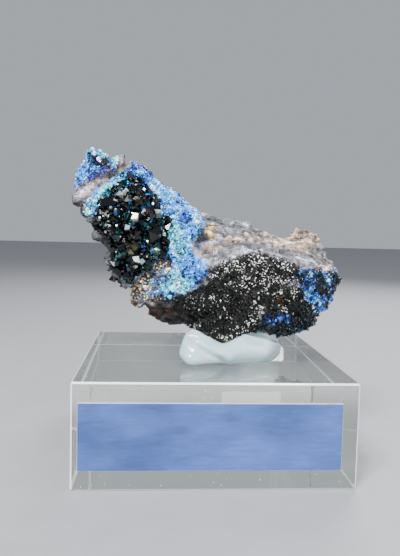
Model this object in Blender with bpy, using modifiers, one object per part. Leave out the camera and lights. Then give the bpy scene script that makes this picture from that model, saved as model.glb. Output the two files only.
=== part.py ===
"""A lazulite mineral specimen, pressed into a lump of putty on a clear display block.

The frame: +Z up, +X to the right and +Y away from the front of the block, with the
origin at the middle of the block's flat bottom face. The design is written in
millimetres and made in metres.

The rock is a chain of convex lumps, melted together and roughened. Each patch of
crystals is a crust: a layer that follows the rock's surface inside an outline seen from
the front, with the crystals of that patch joined to it.
"""
import math
import random

import bmesh
import bpy
from mathutils import Matrix, Vector, noise

MM = 0.001
GAP = 0.3
SPECIMEN = "lazulite_specimen"

# The display block and its label.
BLOCK_SIDE = 50.0
BLOCK_HEIGHT = 19.0
BLOCK_BEVEL = 0.4
BLOCK_FRONT = -BLOCK_SIDE / 2
LABEL_WIDTH = 45.8
LABEL_HEIGHT = 11.9
LABEL_THICKNESS = 0.2
LABEL_CENTRE_X = -0.9
LABEL_CENTRE_Z = 9.65

# How finely the rock and the putty are shaped, and how often each is smoothed.
ROCK_VOXEL = 0.7
ROCK_SMOOTHING = 1
ROCK_TRIANGLES = 1900
SKIN_VOXEL = 0.5
SKIN_TRIANGLES = 1300
PUTTY_VOXEL = 0.7
PUTTY_SMOOTHING = 6
PUTTY_TRIANGLES = 340

# The rock's relief: for its broad hollows, its grain and its ledges, the width and the
# height of each, and the height that is added everywhere.
HOLLOW_WIDTH, HOLLOW_HEIGHT = 7.0, 0.45
GRAIN_WIDTH, GRAIN_HEIGHT = 2.2, 0.28
LEDGE_WIDTH, LEDGE_HEIGHT = 4.5, 0.5
RELIEF_LIFT = 0.12

# How deep a crust of crystals is, and how much that varies.
CRUST_DEPTH = 0.9
CRUST_SWELL = 0.35
SWELL_WIDTH = 1.7

# Points nearer than this are merged, and faces that turn by less than the angle are joined.
MERGE_DISTANCE = 0.002
FLAT_ANGLE = math.radians(6)

# The long body of the rock: sections across it, each at one x, as (y, z) corners.
BODY_SECTIONS = [
    (-12.5, [(-12.5, 32.5), (-12, 36), (-6, 38), (0, 37), (1, 31), (-5, 28), (-10, 29)]),
    (-5.0, [(-12.8, 33), (-12.6, 38), (-7, 44), (0, 48.6), (5, 47), (8, 40), (5, 30), (-5, 26.4)]),
    (2.0, [(-13.2, 38.3), (-8, 43), (2, 48), (10, 45), (12.5, 38), (4.5, 27), (-5, 23), (-9, 23.4)]),
    (7.5, [(-12.8, 40.4), (-6, 44), (3, 46.9), (10.5, 43), (13, 34), (6, 26.6), (-5, 25.3), (-9.5, 26.5)]),
    (12.0, [(-11.8, 40), (-4, 42.6), (3, 44.2), (8.5, 43), (10.5, 36.5), (7, 28.5), (-4.5, 25), (-9.5, 27.5)]),
    (16.5, [(-10.8, 38.8), (-4, 41.6), (3, 43.2), (10, 40), (11.5, 34), (4, 26.5), (-4, 24.8), (-8, 28)]),
    (21.5, [(-7.8, 38), (-2, 41.5), (3, 43.6), (8, 41), (8.5, 35), (3, 28), (-3.5, 26.6), (-6.5, 31)]),
    (25.0, [(-4.6, 37.9), (0, 40.6), (4, 39), (4, 34), (0, 32), (-4, 33.8)]),
]

# The other lumps of the rock, as (x, y, z) corners.
ROCK_LUMPS = {
    "right_knob": [
        (17.8, 2, 42), (18.8, 3, 45.3), (20.5, 1, 45.7), (22.6, 2, 44.7), (25.0, 1, 41.3),
        (20, -3.5, 42.3), (24, -3, 40.3), (19, 7, 43), (23, 7, 41.8), (24, 4, 38),
    ],
    "right_tip": [
        (22, -6, 38.2), (26.8, -3, 38.2), (26.2, -3.5, 35.2), (23, -5, 33), (22, 3, 40), (22, 3, 33),
    ],
    "wing": [
        (-25.2, -11.6, 49.6), (-16.8, -11.4, 56.6), (-4, -10, 46.5), (-5, -11.6, 40), (-10, -12, 36.5),
        (-16, -11.6, 36), (-19, -11, 40), (-25.8, -7, 49.2), (-16.2, -6, 56.4), (-4, -4, 48.2),
        (-23.5, 0, 49.5), (-16, 0, 55), (-4, 1, 47.5), (-3, 1, 40), (-10, 1, 36), (-17, -1, 38.5),
    ],
    "wing_end": [
        (-25.9, -9.5, 51), (-25.6, -6, 54.4), (-24.2, -5, 57.4), (-19, -6, 57), (-17.4, -9, 56.8),
        (-24.6, -1, 51), (-17.5, -1, 55.5), (-23.2, -2, 55.5),
    ],
    "broken_rim": [
        (-26.7, -12.2, 50.2), (-24.6, -13.2, 48.9), (-16.3, -13.0, 57.3), (-17.0, -11.8, 58.2),
        (-22.1, -12.6, 54.4), (-25, -8, 50), (-17.5, -8, 56.6),
    ],
    "wing_foot": [
        (-18.2, -10, 38.5), (-17.6, -10, 36.2), (-15.5, -11, 35), (-12, -12.4, 36), (-9, -12.8, 39.5),
        (-14, -12.6, 42), (-14, -4, 36), (-18, -4, 40),
    ],
    "belly": [
        (-15.0, -10, 31.7), (-13, -10, 30.6), (-12.5, -12.2, 34.5), (-7.5, -13.2, 37.6),
        (-2, -13.6, 36.8), (-1.8, -13.4, 35.2), (-8, -13.4, 32.8), (-12, -12.6, 31.2),
        (-14, -5, 33), (-4, -5, 31),
    ],
    "low_bulge": [
        (-12.8, -9.5, 29.7), (-12.2, -8, 27.8), (-9.2, -7, 26.3), (-5, -7.5, 26.6), (-3.5, -10.4, 29.3),
        (-7, -11.4, 31), (-12, -11, 30.6), (-10, 0, 28), (-4, 0, 28),
    ],
}

# The putty: lumps pressed up against the foot of the rock, as (x, y, z) corners.
PUTTY_BASE = BLOCK_HEIGHT + GAP
PUTTY_TOP = 26.8
PUTTY_RIGHT = 15.8
PUTTY_LUMPS = {
    "left_lobe": [
        (-5.6, -8, PUTTY_BASE), (-4.6, -13.6, PUTTY_BASE), (1, -11.6, PUTTY_BASE), (3, -4, PUTTY_BASE),
        (-1, -1.5, PUTTY_BASE), (-5, -4, PUTTY_BASE), (-6.4, -11, 21.2), (-5.6, -6, 21.5),
        (-5.0, -10, 25.2), (-4.2, -9, 25.9), (-2.6, -10.6, 25.4), (1.5, -11.6, 22.6),
        (-1, -3, 25), (2, -12, 20.6),
    ],
    "right_lobe": [
        (2.5, -11.3, PUTTY_BASE), (7.7, -10.3, PUTTY_BASE), (12.8, -7, PUTTY_BASE),
        (14.2, -2.5, PUTTY_BASE), (10, 1.5, PUTTY_BASE), (3, -0.5, PUTTY_BASE), (4, -12, 21.6),
        (10.5, -9.8, 21), (14.5, -5.5, 21), (15.0, -2.5, 21.2), (5.4, -10.2, 24.8),
        (6.6, -8.6, 26.0), (13.2, -7, 24.4), (13.6, -5, 25), (12, -1, 25), (6, -1, 25.5),
    ],
    "middle": [
        (-1, -12, PUTTY_BASE), (5, -11.6, PUTTY_BASE), (5, 0, PUTTY_BASE), (-1, 0, PUTTY_BASE),
        (0, -11.8, 22.4), (4.5, -11.6, 22.4), (4.5, 0, 24.5), (0, 0, 24.5),
    ],
}

# The dark cluster on the wing: its outline from the front, and its larger crystals as
# (x, z, width).
DARK_OUTLINE = [
    (-23.5, 46.2), (-22.4, 48.4), (-20.4, 50.4), (-17.8, 51.8), (-16.0, 53.6), (-14.4, 54.9),
    (-12.9, 53.8), (-11.2, 51.4), (-10, 49.6), (-8.2, 47.4), (-8.4, 44), (-6.8, 40.6), (-9.5, 39.7),
    (-11.4, 37.4), (-13.3, 35.9), (-15.8, 34.4), (-18.9, 35.8), (-19.5, 41), (-22.2, 44.4),
]
DARK_CRYSTALS = [
    (-11.2, 43.9, 4.4), (-15.4, 47.2, 2.8), (-14.9, 39.0, 3.6), (-12.6, 38.4, 2.4), (-18.0, 36.9, 3.0),
    (-16.0, 35.8, 3.2), (-18.8, 39.6, 2.6), (-11.0, 41.0, 3.6), (-14.6, 44.0, 3.4), (-11.9, 47.8, 3.0),
    (-14.4, 50.5, 3.0), (-15.7, 53.0, 2.8), (-17.9, 51.0, 2.8), (-20.2, 49.6, 2.6), (-22.2, 47.9, 2.2),
    (-19.4, 47.1, 2.6), (-16.8, 45.4, 2.4), (-20.3, 45.0, 2.4), (-18.3, 43.5, 2.6), (-17.2, 41.5, 2.6),
    (-9.4, 46.0, 2.4), (-8.4, 41.8, 2.4), (-15.1, 41.3, 2.4),
]


# A sight line from in front of the rock, and the depth past which it has missed the wing.
SIGHT_START = -60.0
CRYSTAL_DEPTH = -11.0

# The other patches, each an outline from the front as (x, z) corners.
RIDGE_OUTLINE = [
    (-24.6, 47.6), (-24.2, 48.7), (-22.8, 50.6), (-21.2, 52), (-19.4, 53.1), (-17.6, 54.2),
    (-16.3, 56.1), (-15.8, 58.5),
    (-11, 57), (-3, 51), (-2.4, 46.5), (-4.2, 44.5), (-4.6, 42), (-1.4, 39), (-0.6, 36.6), (-2.3, 34.8),
    (-4.7, 33.6), (-8, 32.1), (-12.6, 30.4), (-16.5, 30.6), (-16.2, 33), (-13, 37), (-15, 45), (-20, 49),
]
TIP_OUTLINE = [
    (-27.6, 50.8), (-26.0, 51.8), (-24.2, 53.6), (-22.1, 55.0), (-19.7, 55.4), (-18.3, 56.8),
    (-17.3, 58.6), (-17, 62), (-26, 62), (-29, 55),
]
RIGHT_OUTLINE = [
    (17.2, 37.4), (19.9, 38.2), (22.8, 38.2), (24.6, 37.4), (27, 35.2), (25, 30), (21.4, 28.6),
    (20.2, 29.4), (20.2, 31), (18.8, 33), (17.4, 34.9),
]
UNDER_OUTLINE = [
    (9.8, 29.0), (12.5, 29.2), (15.5, 28.8), (16.4, 28), (20, 28.2), (22, 27), (19, 23), (13, 23),
    (9.9, 26),
]
FACE_OUTLINE = [
    (-1.4, 37.1), (2.7, 39.0), (6.1, 40.4), (9.6, 40.6), (12.9, 39.6), (16.4, 38.4), (16.6, 36),
    (16.6, 34.7), (18.1, 32.6), (19.4, 30.6), (19.4, 29.0), (15.6, 29.4), (12.5, 29.8), (9.2, 29.6),
    (9.2, 26), (6.8, 24.8), (3.0, 22.4), (0.6, 22.6), (-0.7, 24.9), (-4.8, 26.3), (-3.9, 29), (-6, 31.1),
    (-9.4, 31.0), (-9.2, 31.4), (-4.4, 33.1), (-1.7, 34.6), (-0.2, 36),
]

CRYSTAL_INSET = 0.5
SIDE_LIMIT = 0.75
TRIES_FOR_EACH = 12
REACH_RANGE = (0.7, 1.3)
DARK_LEAN = 0.5
DARK_REACH = 0.36
SEED = 7

# A crystal's shape: how deep it is rooted as a share of its width, and then its height as a
# share of its length and its width as a share of its own, up its axis.
ROOT_DEPTH = 0.4
ROOT_WIDTH = 0.85
SHOULDER_HEIGHT = 0.55
TOP_WIDTH = 0.35

# The two large crystals on the tip, as place, direction, width, length and sides.
TIP_CRYSTALS = [
    ((-22.0, -8.4, 56.8), (-0.15, -0.75, 0.65), 3.8, 2.6, 6),
    ((-23.2, -6.2, 57.6), (-0.3, -0.3, 0.9), 2.6, 2.2, 4),
]
TIP_TURN = 0.4

# Each patch: its outline, its reach from front to back, the least distance between its
# crystals, the most crystals, their widths, how far they stand out and how much they lean.
PATCHES = {
    "lazulite_crystals": (DARK_OUTLINE, (-20, -6.5), 1.5, 24, (1.6, 2.3), 0.8, 0.5),
    "blue_druse_tip": (TIP_OUTLINE, (-20, 2.5), 2.2, 20, (1.8, 2.4), 0.5, 0.35),
    "blue_druse_ridge": (RIDGE_OUTLINE, (-20, -3.0), 2.3, 32, (1.7, 2.3), 0.4, 0.3),
    "blue_druse_right": (RIGHT_OUTLINE, (-20, 1.0), 2.3, 14, (1.7, 2.3), 0.5, 0.3),
    "blue_druse_under": (UNDER_OUTLINE, (-20, 2.5), 2.1, 16, (1.7, 2.3), 0.5, 0.3),
    "dark_druse_face": (FACE_OUTLINE, (-20, -3.0), 2.8, 34, (1.6, 2.2), 0.35, 0.3),
}


def clear_scene():
    """Remove whatever the file opened with."""
    for old in list(bpy.data.objects):
        bpy.data.objects.remove(old, do_unlink=True)


def new_collection(name):
    """A collection linked to the scene."""
    collection = bpy.data.collections.new(name)
    bpy.context.scene.collection.children.link(collection)
    return collection


def make_material(name, colour, roughness, transmission=0.0):
    """A Principled material with one colour."""
    material = bpy.data.materials.new(name)
    material.use_nodes = True
    shader = material.node_tree.nodes["Principled BSDF"]
    shader.inputs["Base Color"].default_value = (*colour, 1.0)
    shader.inputs["Roughness"].default_value = roughness
    shader.inputs["Metallic"].default_value = 0.0
    shader.inputs["Transmission Weight"].default_value = transmission
    material.diffuse_color = (*colour, 1.0)
    return material


def new_object(name, mesh, collection):
    """An object that shows the mesh."""
    thing = bpy.data.objects.new(name, mesh)
    collection.objects.link(thing)
    return thing


def as_cutter(thing):
    """Mark a helper solid so that it is drawn as wires and never rendered."""
    thing.hide_render = True
    thing.display_type = "WIRE"
    return thing


def mesh_from(bm, name):
    """Write a bmesh to a new mesh and free it."""
    mesh = bpy.data.meshes.new(name)
    bm.to_mesh(mesh)
    bm.free()
    return mesh


def apply_modifiers(thing):
    """Replace the object's mesh by its evaluated one."""
    depsgraph = bpy.context.evaluated_depsgraph_get()
    mesh = bpy.data.meshes.new_from_object(thing.evaluated_get(depsgraph))
    thing.modifiers.clear()
    thing.data = mesh


def boolean(thing, operation, other):
    """Cut, keep or join with another solid. The manifold solver keeps these rough skins closed."""
    modifier = thing.modifiers.new(operation.lower(), "BOOLEAN")
    modifier.operation = operation
    modifier.object = other
    modifier.solver = "MANIFOLD"
    apply_modifiers(thing)


def millimetres(points):
    """Points written in millimetres, as vectors in metres."""
    return [Vector(point) * MM for point in points]


def hull_mesh(lumps, name):
    """One mesh that holds the convex hull of each list of points."""
    bm = bmesh.new()
    for points in lumps:
        corners = [bm.verts.new(point) for point in millimetres(points)]
        result = bmesh.ops.convex_hull(bm, input=corners)
        loose = [item for item in result["geom_interior"] if isinstance(item, bmesh.types.BMVert)]
        bmesh.ops.delete(bm, geom=loose, context="VERTS")
    return mesh_from(bm, name)


def melt(thing, voxel, smoothing):
    """Join overlapping lumps into one skin and round its edges."""
    remesh = thing.modifiers.new("melt", "REMESH")
    remesh.mode = "VOXEL"
    remesh.voxel_size = voxel * MM
    smooth = thing.modifiers.new("round", "SMOOTH")
    smooth.factor = 0.5
    smooth.iterations = smoothing
    apply_modifiers(thing)


def thin_out(thing, triangles):
    """Bring the mesh down to about so many triangles."""
    bm = bmesh.new()
    bm.from_mesh(thing.data)
    bmesh.ops.triangulate(bm, faces=bm.faces)
    count = len(bm.faces)
    bm.to_mesh(thing.data)
    bm.free()
    decimate = thing.modifiers.new("thin", "DECIMATE")
    decimate.ratio = min(1.0, triangles / count)
    decimate.use_collapse_triangulate = True
    apply_modifiers(thing)


def push_out(mesh, distance):
    """Move each point along its normal, by a distance in metres or by a function of the point."""
    bm = bmesh.new()
    bm.from_mesh(mesh)
    bm.normal_update()
    moves = []
    for vert in bm.verts:
        step = distance(vert.co) if callable(distance) else distance
        moves.append(vert.normal * step)
    for vert, move in zip(bm.verts, moves):
        vert.co += move
    bm.to_mesh(mesh)
    bm.free()


def rock_relief(point):
    """Height of the broken surface at a point: broad hollows, fine grain and ledges."""
    place = point / MM
    hollow = noise.fractal(place / HOLLOW_WIDTH, 0.9, 2.1, 3)
    grain = noise.fractal(place / GRAIN_WIDTH + Vector((9, 4, 2)), 0.8, 2.2, 3)
    ledge = abs(noise.noise(place / LEDGE_WIDTH + Vector((3, 8, 5))))
    height = HOLLOW_HEIGHT * hollow + GRAIN_HEIGHT * grain - LEDGE_HEIGHT * ledge + RELIEF_LIFT
    return height * MM


def make_rock(collection):
    """The rock under the crystals: lumps melted together, roughened and thinned out."""
    lumps = []
    for (x1, section1), (x2, section2) in zip(BODY_SECTIONS, BODY_SECTIONS[1:]):
        lumps.append([(x1, y, z) for y, z in section1] + [(x2, y, z) for y, z in section2])
    lumps.extend(ROCK_LUMPS.values())
    rock = new_object("rock_matrix", hull_mesh(lumps, "rock"), collection)
    melt(rock, ROCK_VOXEL, ROCK_SMOOTHING)
    push_out(rock.data, rock_relief)
    thin_out(rock, ROCK_TRIANGLES)
    return rock


def grown_rock(rock, name, distance, collection):
    """A copy of the rock pushed out by a distance in metres."""
    thing = as_cutter(new_object(name, rock.data.copy(), collection))
    push_out(thing.data, distance)
    return thing


def spread(outline, margin):
    """The outline with each corner moved outwards by the margin, in millimetres."""
    area = sum(a[0] * b[1] - b[0] * a[1] for a, b in zip(outline, outline[1:] + outline[:1]))
    side = math.copysign(1.0, area)
    points = []
    for index, point in enumerate(outline):
        before = Vector(point) - Vector(outline[index - 1])
        after = Vector(outline[(index + 1) % len(outline)]) - Vector(point)
        across = before.normalized() + after.normalized()
        normal = Vector((across.y, -across.x)).normalized() * side
        points.append(tuple(Vector(point) + normal * margin))
    return points


def outline_prism(name, outline, front, back, collection):
    """A solid with the outline as seen from the front, from y = front to y = back."""
    curve = bpy.data.curves.new(name, "CURVE")
    curve.dimensions = "2D"
    curve.fill_mode = "BOTH"
    curve.extrude = (back - front) / 2 * MM
    spline = curve.splines.new("POLY")
    spline.points.add(len(outline) - 1)
    spline.use_cyclic_u = True
    for point, (x, z) in zip(spline.points, outline):
        point.co = (x * MM, z * MM, 0.0, 1.0)
    flat = new_object(name, curve, collection)
    flat.rotation_euler = (math.pi / 2, 0.0, 0.0)
    flat.location = (0.0, (front + back) / 2 * MM, 0.0)
    bpy.context.view_layer.update()
    depsgraph = bpy.context.evaluated_depsgraph_get()
    mesh = bpy.data.meshes.new_from_object(flat.evaluated_get(depsgraph))
    mesh.transform(flat.matrix_world)
    bpy.data.objects.remove(flat, do_unlink=True)
    bm = bmesh.new()
    bm.from_mesh(mesh)
    bmesh.ops.remove_doubles(bm, verts=bm.verts, dist=MERGE_DISTANCE * MM)
    bmesh.ops.recalc_face_normals(bm, faces=bm.faces)
    bm.to_mesh(mesh)
    bm.free()
    return new_object(name, mesh, collection)


def is_inside(outline, x, z):
    """Whether the point (x, z) lies within the outline."""
    inside = False
    for (x1, z1), (x2, z2) in zip(outline, outline[1:] + outline[:1]):
        if (z1 > z) != (z2 > z) and x < (x2 - x1) * (z - z1) / (z2 - z1) + x1:
            inside = not inside
    return inside


def surface_spots(rock, outline, front, back, spacing, count, taken, rng):
    """Places on the rock inside the outline, at least a spacing apart, with their normals.

    Faces that turn sharply to the left or right are left out, because crystals there would
    stand out past the specimen's outline.
    """
    faces = [face for face in rock.data.polygons if front < face.center.y / MM < back]
    faces = [face for face in faces if abs(face.normal.x) < SIDE_LIMIT]
    faces = [face for face in faces if is_inside(outline, face.center.x / MM, face.center.z / MM)]
    weights = [face.area for face in faces]
    spots = []
    for _ in range(count * TRIES_FOR_EACH):
        if len(spots) == count:
            break
        face = rng.choices(faces, weights)[0]
        a, b, c = [rock.data.vertices[index].co for index in face.vertices]
        u, v = sorted((rng.random(), rng.random()))
        spot = a * u + b * (v - u) + c * (1 - v)
        if all((spot - other).length > spacing * MM for other in taken):
            taken.append(spot)
            spots.append((spot, face.normal.copy()))
    return spots


def front_spot(rock, x, z):
    """The place on the rock's front that lies at (x, z), or nearest to it, with its normal."""
    ahead = Vector((x, SIGHT_START, z)) * MM
    hit, place, normal, _ = rock.ray_cast(ahead, Vector((0, 1, 0)))
    if not hit or place.y > CRYSTAL_DEPTH * MM:
        _, place, normal, _ = rock.closest_point_on_mesh(Vector((x, CRYSTAL_DEPTH, z)) * MM)
    return place, normal


def crystal_solid(name, spot, direction, width, length, twist, sides, margin, collection):
    """One crystal on the spot: a prism under a low pyramid that is cut off near its tip."""
    radius = (width / 2 + margin) * MM
    tall = (length + margin) * MM
    root = ROOT_DEPTH * width * MM
    bm = bmesh.new()
    for height, share in ((-root, ROOT_WIDTH), (SHOULDER_HEIGHT * tall, 1.0), (tall, TOP_WIDTH)):
        ring = Matrix.Translation((0, 0, height))
        bmesh.ops.create_circle(bm, segments=sides, radius=radius * share, matrix=ring)
    bmesh.ops.convex_hull(bm, input=bm.verts)
    bmesh.ops.recalc_face_normals(bm, faces=bm.faces)
    upright = direction.to_track_quat("Z", "Y").to_matrix().to_4x4()
    place = Matrix.Translation(spot) @ upright @ Matrix.Rotation(twist, 4, "Z")
    bmesh.ops.transform(bm, verts=bm.verts, matrix=place)
    return as_cutter(new_object(name, mesh_from(bm, name), collection))


def crystal_list(spots, rng, widths, lean, reach):
    """Size, lean and turn for a crystal on each spot, standing out of the crust by about the reach."""
    crystals = []
    for spot, normal in spots:
        tilt = Vector([rng.uniform(-lean, lean) for _ in range(3)])
        width = rng.uniform(*widths)
        length = CRUST_DEPTH + reach * rng.uniform(*REACH_RANGE)
        sides = rng.choice((4, 4, 4, 5))
        twist = rng.uniform(0, math.pi)
        crystals.append((spot, (normal + tilt).normalized(), width, length, twist, sides))
    return crystals


def clear_of_putty(crystals):
    """The crystals that stand away from where the putty holds the rock."""
    return [item for item in crystals if item[0].z > PUTTY_TOP * MM or item[0].x > PUTTY_RIGHT * MM]


def crystals_solid(name, crystals, margin, collection):
    """The crystals of a patch, joined one after another wherever they overlap."""
    cluster = None
    for spot, direction, width, length, twist, sides in crystals:
        crystal = crystal_solid(name, spot, direction, width, length, twist, sides, margin, collection)
        if cluster is None:
            cluster = crystal
        else:
            boolean(cluster, "UNION", crystal)
            bpy.data.objects.remove(crystal, do_unlink=True)
    return cluster


def keep_largest_body(thing):
    """Drop the crumbs that a cut leaves, and merge what it left in double."""
    bm = bmesh.new()
    bm.from_mesh(thing.data)
    bmesh.ops.remove_doubles(bm, verts=bm.verts, dist=MERGE_DISTANCE * MM)
    bmesh.ops.dissolve_degenerate(bm, edges=bm.edges, dist=MERGE_DISTANCE * MM)
    left = set(bm.verts)
    bodies = []
    while left:
        body = {left.pop()}
        front = list(body)
        while front:
            vert = front.pop()
            for edge in vert.link_edges:
                other = edge.other_vert(vert)
                if other in left:
                    left.remove(other)
                    body.add(other)
                    front.append(other)
        bodies.append(body)
    bodies.sort(key=len)
    crumbs = [vert for body in bodies[:-1] for vert in body]
    bmesh.ops.delete(bm, geom=crumbs, context="VERTS")
    bmesh.ops.dissolve_limit(bm, angle_limit=FLAT_ANGLE, verts=bm.verts, edges=bm.edges)
    bmesh.ops.triangulate(bm, faces=bm.faces)
    bm.to_mesh(thing.data)
    bm.free()


def grow_crust(name, outline, depth, skin, under, crystals, avoid, parts, cutters):
    """A patch of crystals: the skin over the rock inside the outline, joined with them."""
    crust = outline_prism(name, outline, depth[0], depth[1], parts)
    boolean(crust, "INTERSECT", skin)
    boolean(crust, "UNION", crystals_solid(name + "_crystals", crystals, 0.0, cutters))
    boolean(crust, "DIFFERENCE", under)
    for other in avoid:
        boolean(crust, "DIFFERENCE", other)
    keep_largest_body(crust)


def crust_skin(rock, cutters):
    """The outer surface of every crust: the rock grown by the crust's own uneven depth."""
    def depth_at(point):
        return (CRUST_DEPTH + CRUST_SWELL * noise.noise(point / MM / SWELL_WIDTH)) * MM

    skin = grown_rock(rock, "crystal_skin", depth_at, cutters)
    melt(skin, SKIN_VOXEL, 0)
    thin_out(skin, SKIN_TRIANGLES)
    return skin


def dark_cluster(rock, rng):
    """The larger crystals of the dark cluster, at their places on the wing's front."""
    crystals = []
    for x, z, width in DARK_CRYSTALS:
        spot, normal = front_spot(rock, x, z)
        lean = Vector([rng.uniform(-DARK_LEAN, DARK_LEAN) for _ in range(3)])
        length = CRUST_DEPTH + DARK_REACH * width
        sides = rng.choice((4, 5, 6))
        twist = rng.uniform(0, math.pi)
        crystals.append((spot, (normal + lean).normalized(), width, length, twist, sides))
    return crystals


def tip_crystals():
    """The two large crystals on the wing's tip."""
    crystals = []
    for place, direction, width, length, sides in TIP_CRYSTALS:
        crystals.append((Vector(place) * MM, Vector(direction).normalized(), width, length, TIP_TURN, sides))
    return crystals


def make_crusts(rock, skin, parts, cutters):
    """Every patch of crystals, each kept clear of the rock and of the patches before it."""
    rng = random.Random(SEED)
    under = grown_rock(rock, "rock_clearance", GAP * MM, cutters)
    large = {"lazulite_crystals": dark_cluster(rock, rng), "blue_druse_tip": tip_crystals()}
    avoid = []
    for name, (outline, depth, spacing, count, widths, reach, lean) in PATCHES.items():
        crystals = list(large.get(name, []))
        taken = [crystal[0] for crystal in crystals]
        inner = spread(outline, -CRYSTAL_INSET)
        spots = surface_spots(rock, inner, depth[0], depth[1] - 1, spacing, count, taken, rng)
        crystals += clear_of_putty(crystal_list(spots, rng, widths, lean, reach))
        grow_crust(name, outline, depth, skin, under, crystals, avoid, parts, cutters)
        fence = outline_prism(name + "_fence", spread(outline, GAP), depth[0], depth[1] + GAP, cutters)
        avoid.append(as_cutter(fence))
        if name == "lazulite_crystals":
            avoid.append(crystals_solid(name + "_clearance", crystals, GAP, cutters))


def make_putty(skin, parts, cutters):
    """The lump of putty, with the shape of the rock's foot and its crystals pressed into it."""
    putty = new_object("mounting_putty", hull_mesh(PUTTY_LUMPS.values(), "putty"), parts)
    melt(putty, PUTTY_VOXEL, PUTTY_SMOOTHING)
    thin_out(putty, PUTTY_TRIANGLES)
    boolean(putty, "DIFFERENCE", grown_rock(skin, "putty_clearance", GAP * MM, cutters))
    below = as_cutter(new_object("block_clearance", bpy.data.meshes.new("slab"), cutters))
    bm = bmesh.new()
    bmesh.ops.create_cube(bm, size=BLOCK_SIDE * MM)
    bmesh.ops.translate(bm, verts=bm.verts, vec=(0, 0, (PUTTY_BASE - BLOCK_SIDE / 2) * MM))
    bm.to_mesh(below.data)
    bm.free()
    boolean(putty, "DIFFERENCE", below)
    keep_largest_body(putty)


def make_box(name, size, centre, parts):
    """A box of the given size around the centre, both in millimetres."""
    bpy.ops.mesh.primitive_cube_add(size=1.0)
    box = bpy.context.object
    box.name = name
    box.data.transform(Matrix.Diagonal((*size, 1.0 / MM)) * MM)
    box.location = Vector(centre) * MM
    for collection in list(box.users_collection):
        collection.objects.unlink(box)
    parts.objects.link(box)
    return box


def make_block(parts):
    """The clear block, its edges just broken."""
    size = (BLOCK_SIDE, BLOCK_SIDE, BLOCK_HEIGHT)
    block = make_box("display_block", size, (0.0, 0.0, BLOCK_HEIGHT / 2), parts)
    bevel = block.modifiers.new("broken_edges", "BEVEL")
    bevel.width = BLOCK_BEVEL * MM
    bevel.segments = 1


def make_label(parts):
    """The strip of label tape on the block's front."""
    middle = BLOCK_FRONT - GAP - LABEL_THICKNESS / 2
    size = (LABEL_WIDTH, LABEL_THICKNESS, LABEL_HEIGHT)
    make_box("label", size, (LABEL_CENTRE_X, middle, LABEL_CENTRE_Z), parts)


def give_materials(parts):
    """Each piece's own material."""
    finishes = {
        "rock_matrix": ((0.30, 0.27, 0.27), 0.75, 0.0),
        "lazulite_crystals": ((0.01, 0.03, 0.04), 0.12, 0.0),
        "blue_druse_tip": ((0.12, 0.38, 0.72), 0.35, 0.0),
        "blue_druse_ridge": ((0.13, 0.42, 0.75), 0.35, 0.0),
        "blue_druse_right": ((0.08, 0.25, 0.62), 0.35, 0.0),
        "blue_druse_under": ((0.02, 0.08, 0.25), 0.3, 0.0),
        "dark_druse_face": ((0.05, 0.05, 0.035), 0.45, 0.0),
        "mounting_putty": ((0.80, 0.84, 0.90), 0.3, 0.4),
        "display_block": ((0.97, 0.99, 0.98), 0.03, 1.0),
        "label": ((0.28, 0.42, 0.70), 0.4, 0.0),
    }
    for thing in parts.objects:
        material = make_material(thing.name, *finishes[thing.name])
        thing.data.materials.clear()
        thing.data.materials.append(material)


def main():
    """Make the specimen."""
    clear_scene()
    parts = new_collection(SPECIMEN)
    cutters = new_collection(SPECIMEN + "_cutters")
    rock = make_rock(parts)
    skin = crust_skin(rock, cutters)
    make_crusts(rock, skin, parts, cutters)
    make_putty(skin, parts, cutters)
    make_block(parts)
    make_label(parts)
    give_materials(parts)


main()
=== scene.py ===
"""The looks of the lazulite specimen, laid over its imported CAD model.

Lengths in the tables are millimetres, in the CAD model's frame: +Z up, +X to the right,
+Y away from the front of the block, and the origin under the middle of the block.
"""
import functools
import itertools
import math
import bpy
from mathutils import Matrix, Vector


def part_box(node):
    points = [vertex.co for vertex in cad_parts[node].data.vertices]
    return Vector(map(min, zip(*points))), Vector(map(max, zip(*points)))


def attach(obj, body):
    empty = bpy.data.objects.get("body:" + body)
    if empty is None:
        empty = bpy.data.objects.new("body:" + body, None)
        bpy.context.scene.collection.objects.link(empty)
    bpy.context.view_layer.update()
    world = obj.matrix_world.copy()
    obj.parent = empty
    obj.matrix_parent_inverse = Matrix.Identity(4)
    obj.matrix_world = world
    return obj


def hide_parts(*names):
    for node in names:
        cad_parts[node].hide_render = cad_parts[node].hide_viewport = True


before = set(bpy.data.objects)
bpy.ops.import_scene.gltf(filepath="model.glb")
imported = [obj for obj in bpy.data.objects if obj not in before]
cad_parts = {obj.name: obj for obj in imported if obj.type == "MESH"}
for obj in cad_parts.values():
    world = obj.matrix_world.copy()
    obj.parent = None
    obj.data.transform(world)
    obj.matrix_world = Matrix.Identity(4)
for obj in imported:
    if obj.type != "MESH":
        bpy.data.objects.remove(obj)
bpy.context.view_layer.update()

from types import SimpleNamespace

import bmesh
import bpy
import numpy as np
from mathutils import Matrix, Vector
from mathutils.bvhtree import BVHTree

bl_info = {
    "name": "Lazulite specimen",
    "version": (1, 0, 0),
    "blender": (4, 5, 0),
    "location": "View3D > Sidebar > Specimen",
    "description": "Rock, crystals, putty, clear block and label of a mounted lazulite specimen",
    "category": "Object",
}

MM = 0.001

# The place that the specimen is looked at from, and the upright plane on which the places
# of its markings are given as (x, z).
EYE = np.array((-10.858, -127.141, 45.410))
MARKING_PLANE = -11.0
CAMERA_YAW = math.radians(4.0912)
CAMERA_PITCH = math.radians(4.7027)
CAMERA_ROLL = math.radians(-1.3981)
CAMERA_LENS = 36 * 610.7 / 556
CAMERA_SENSOR = 36.0

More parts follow.
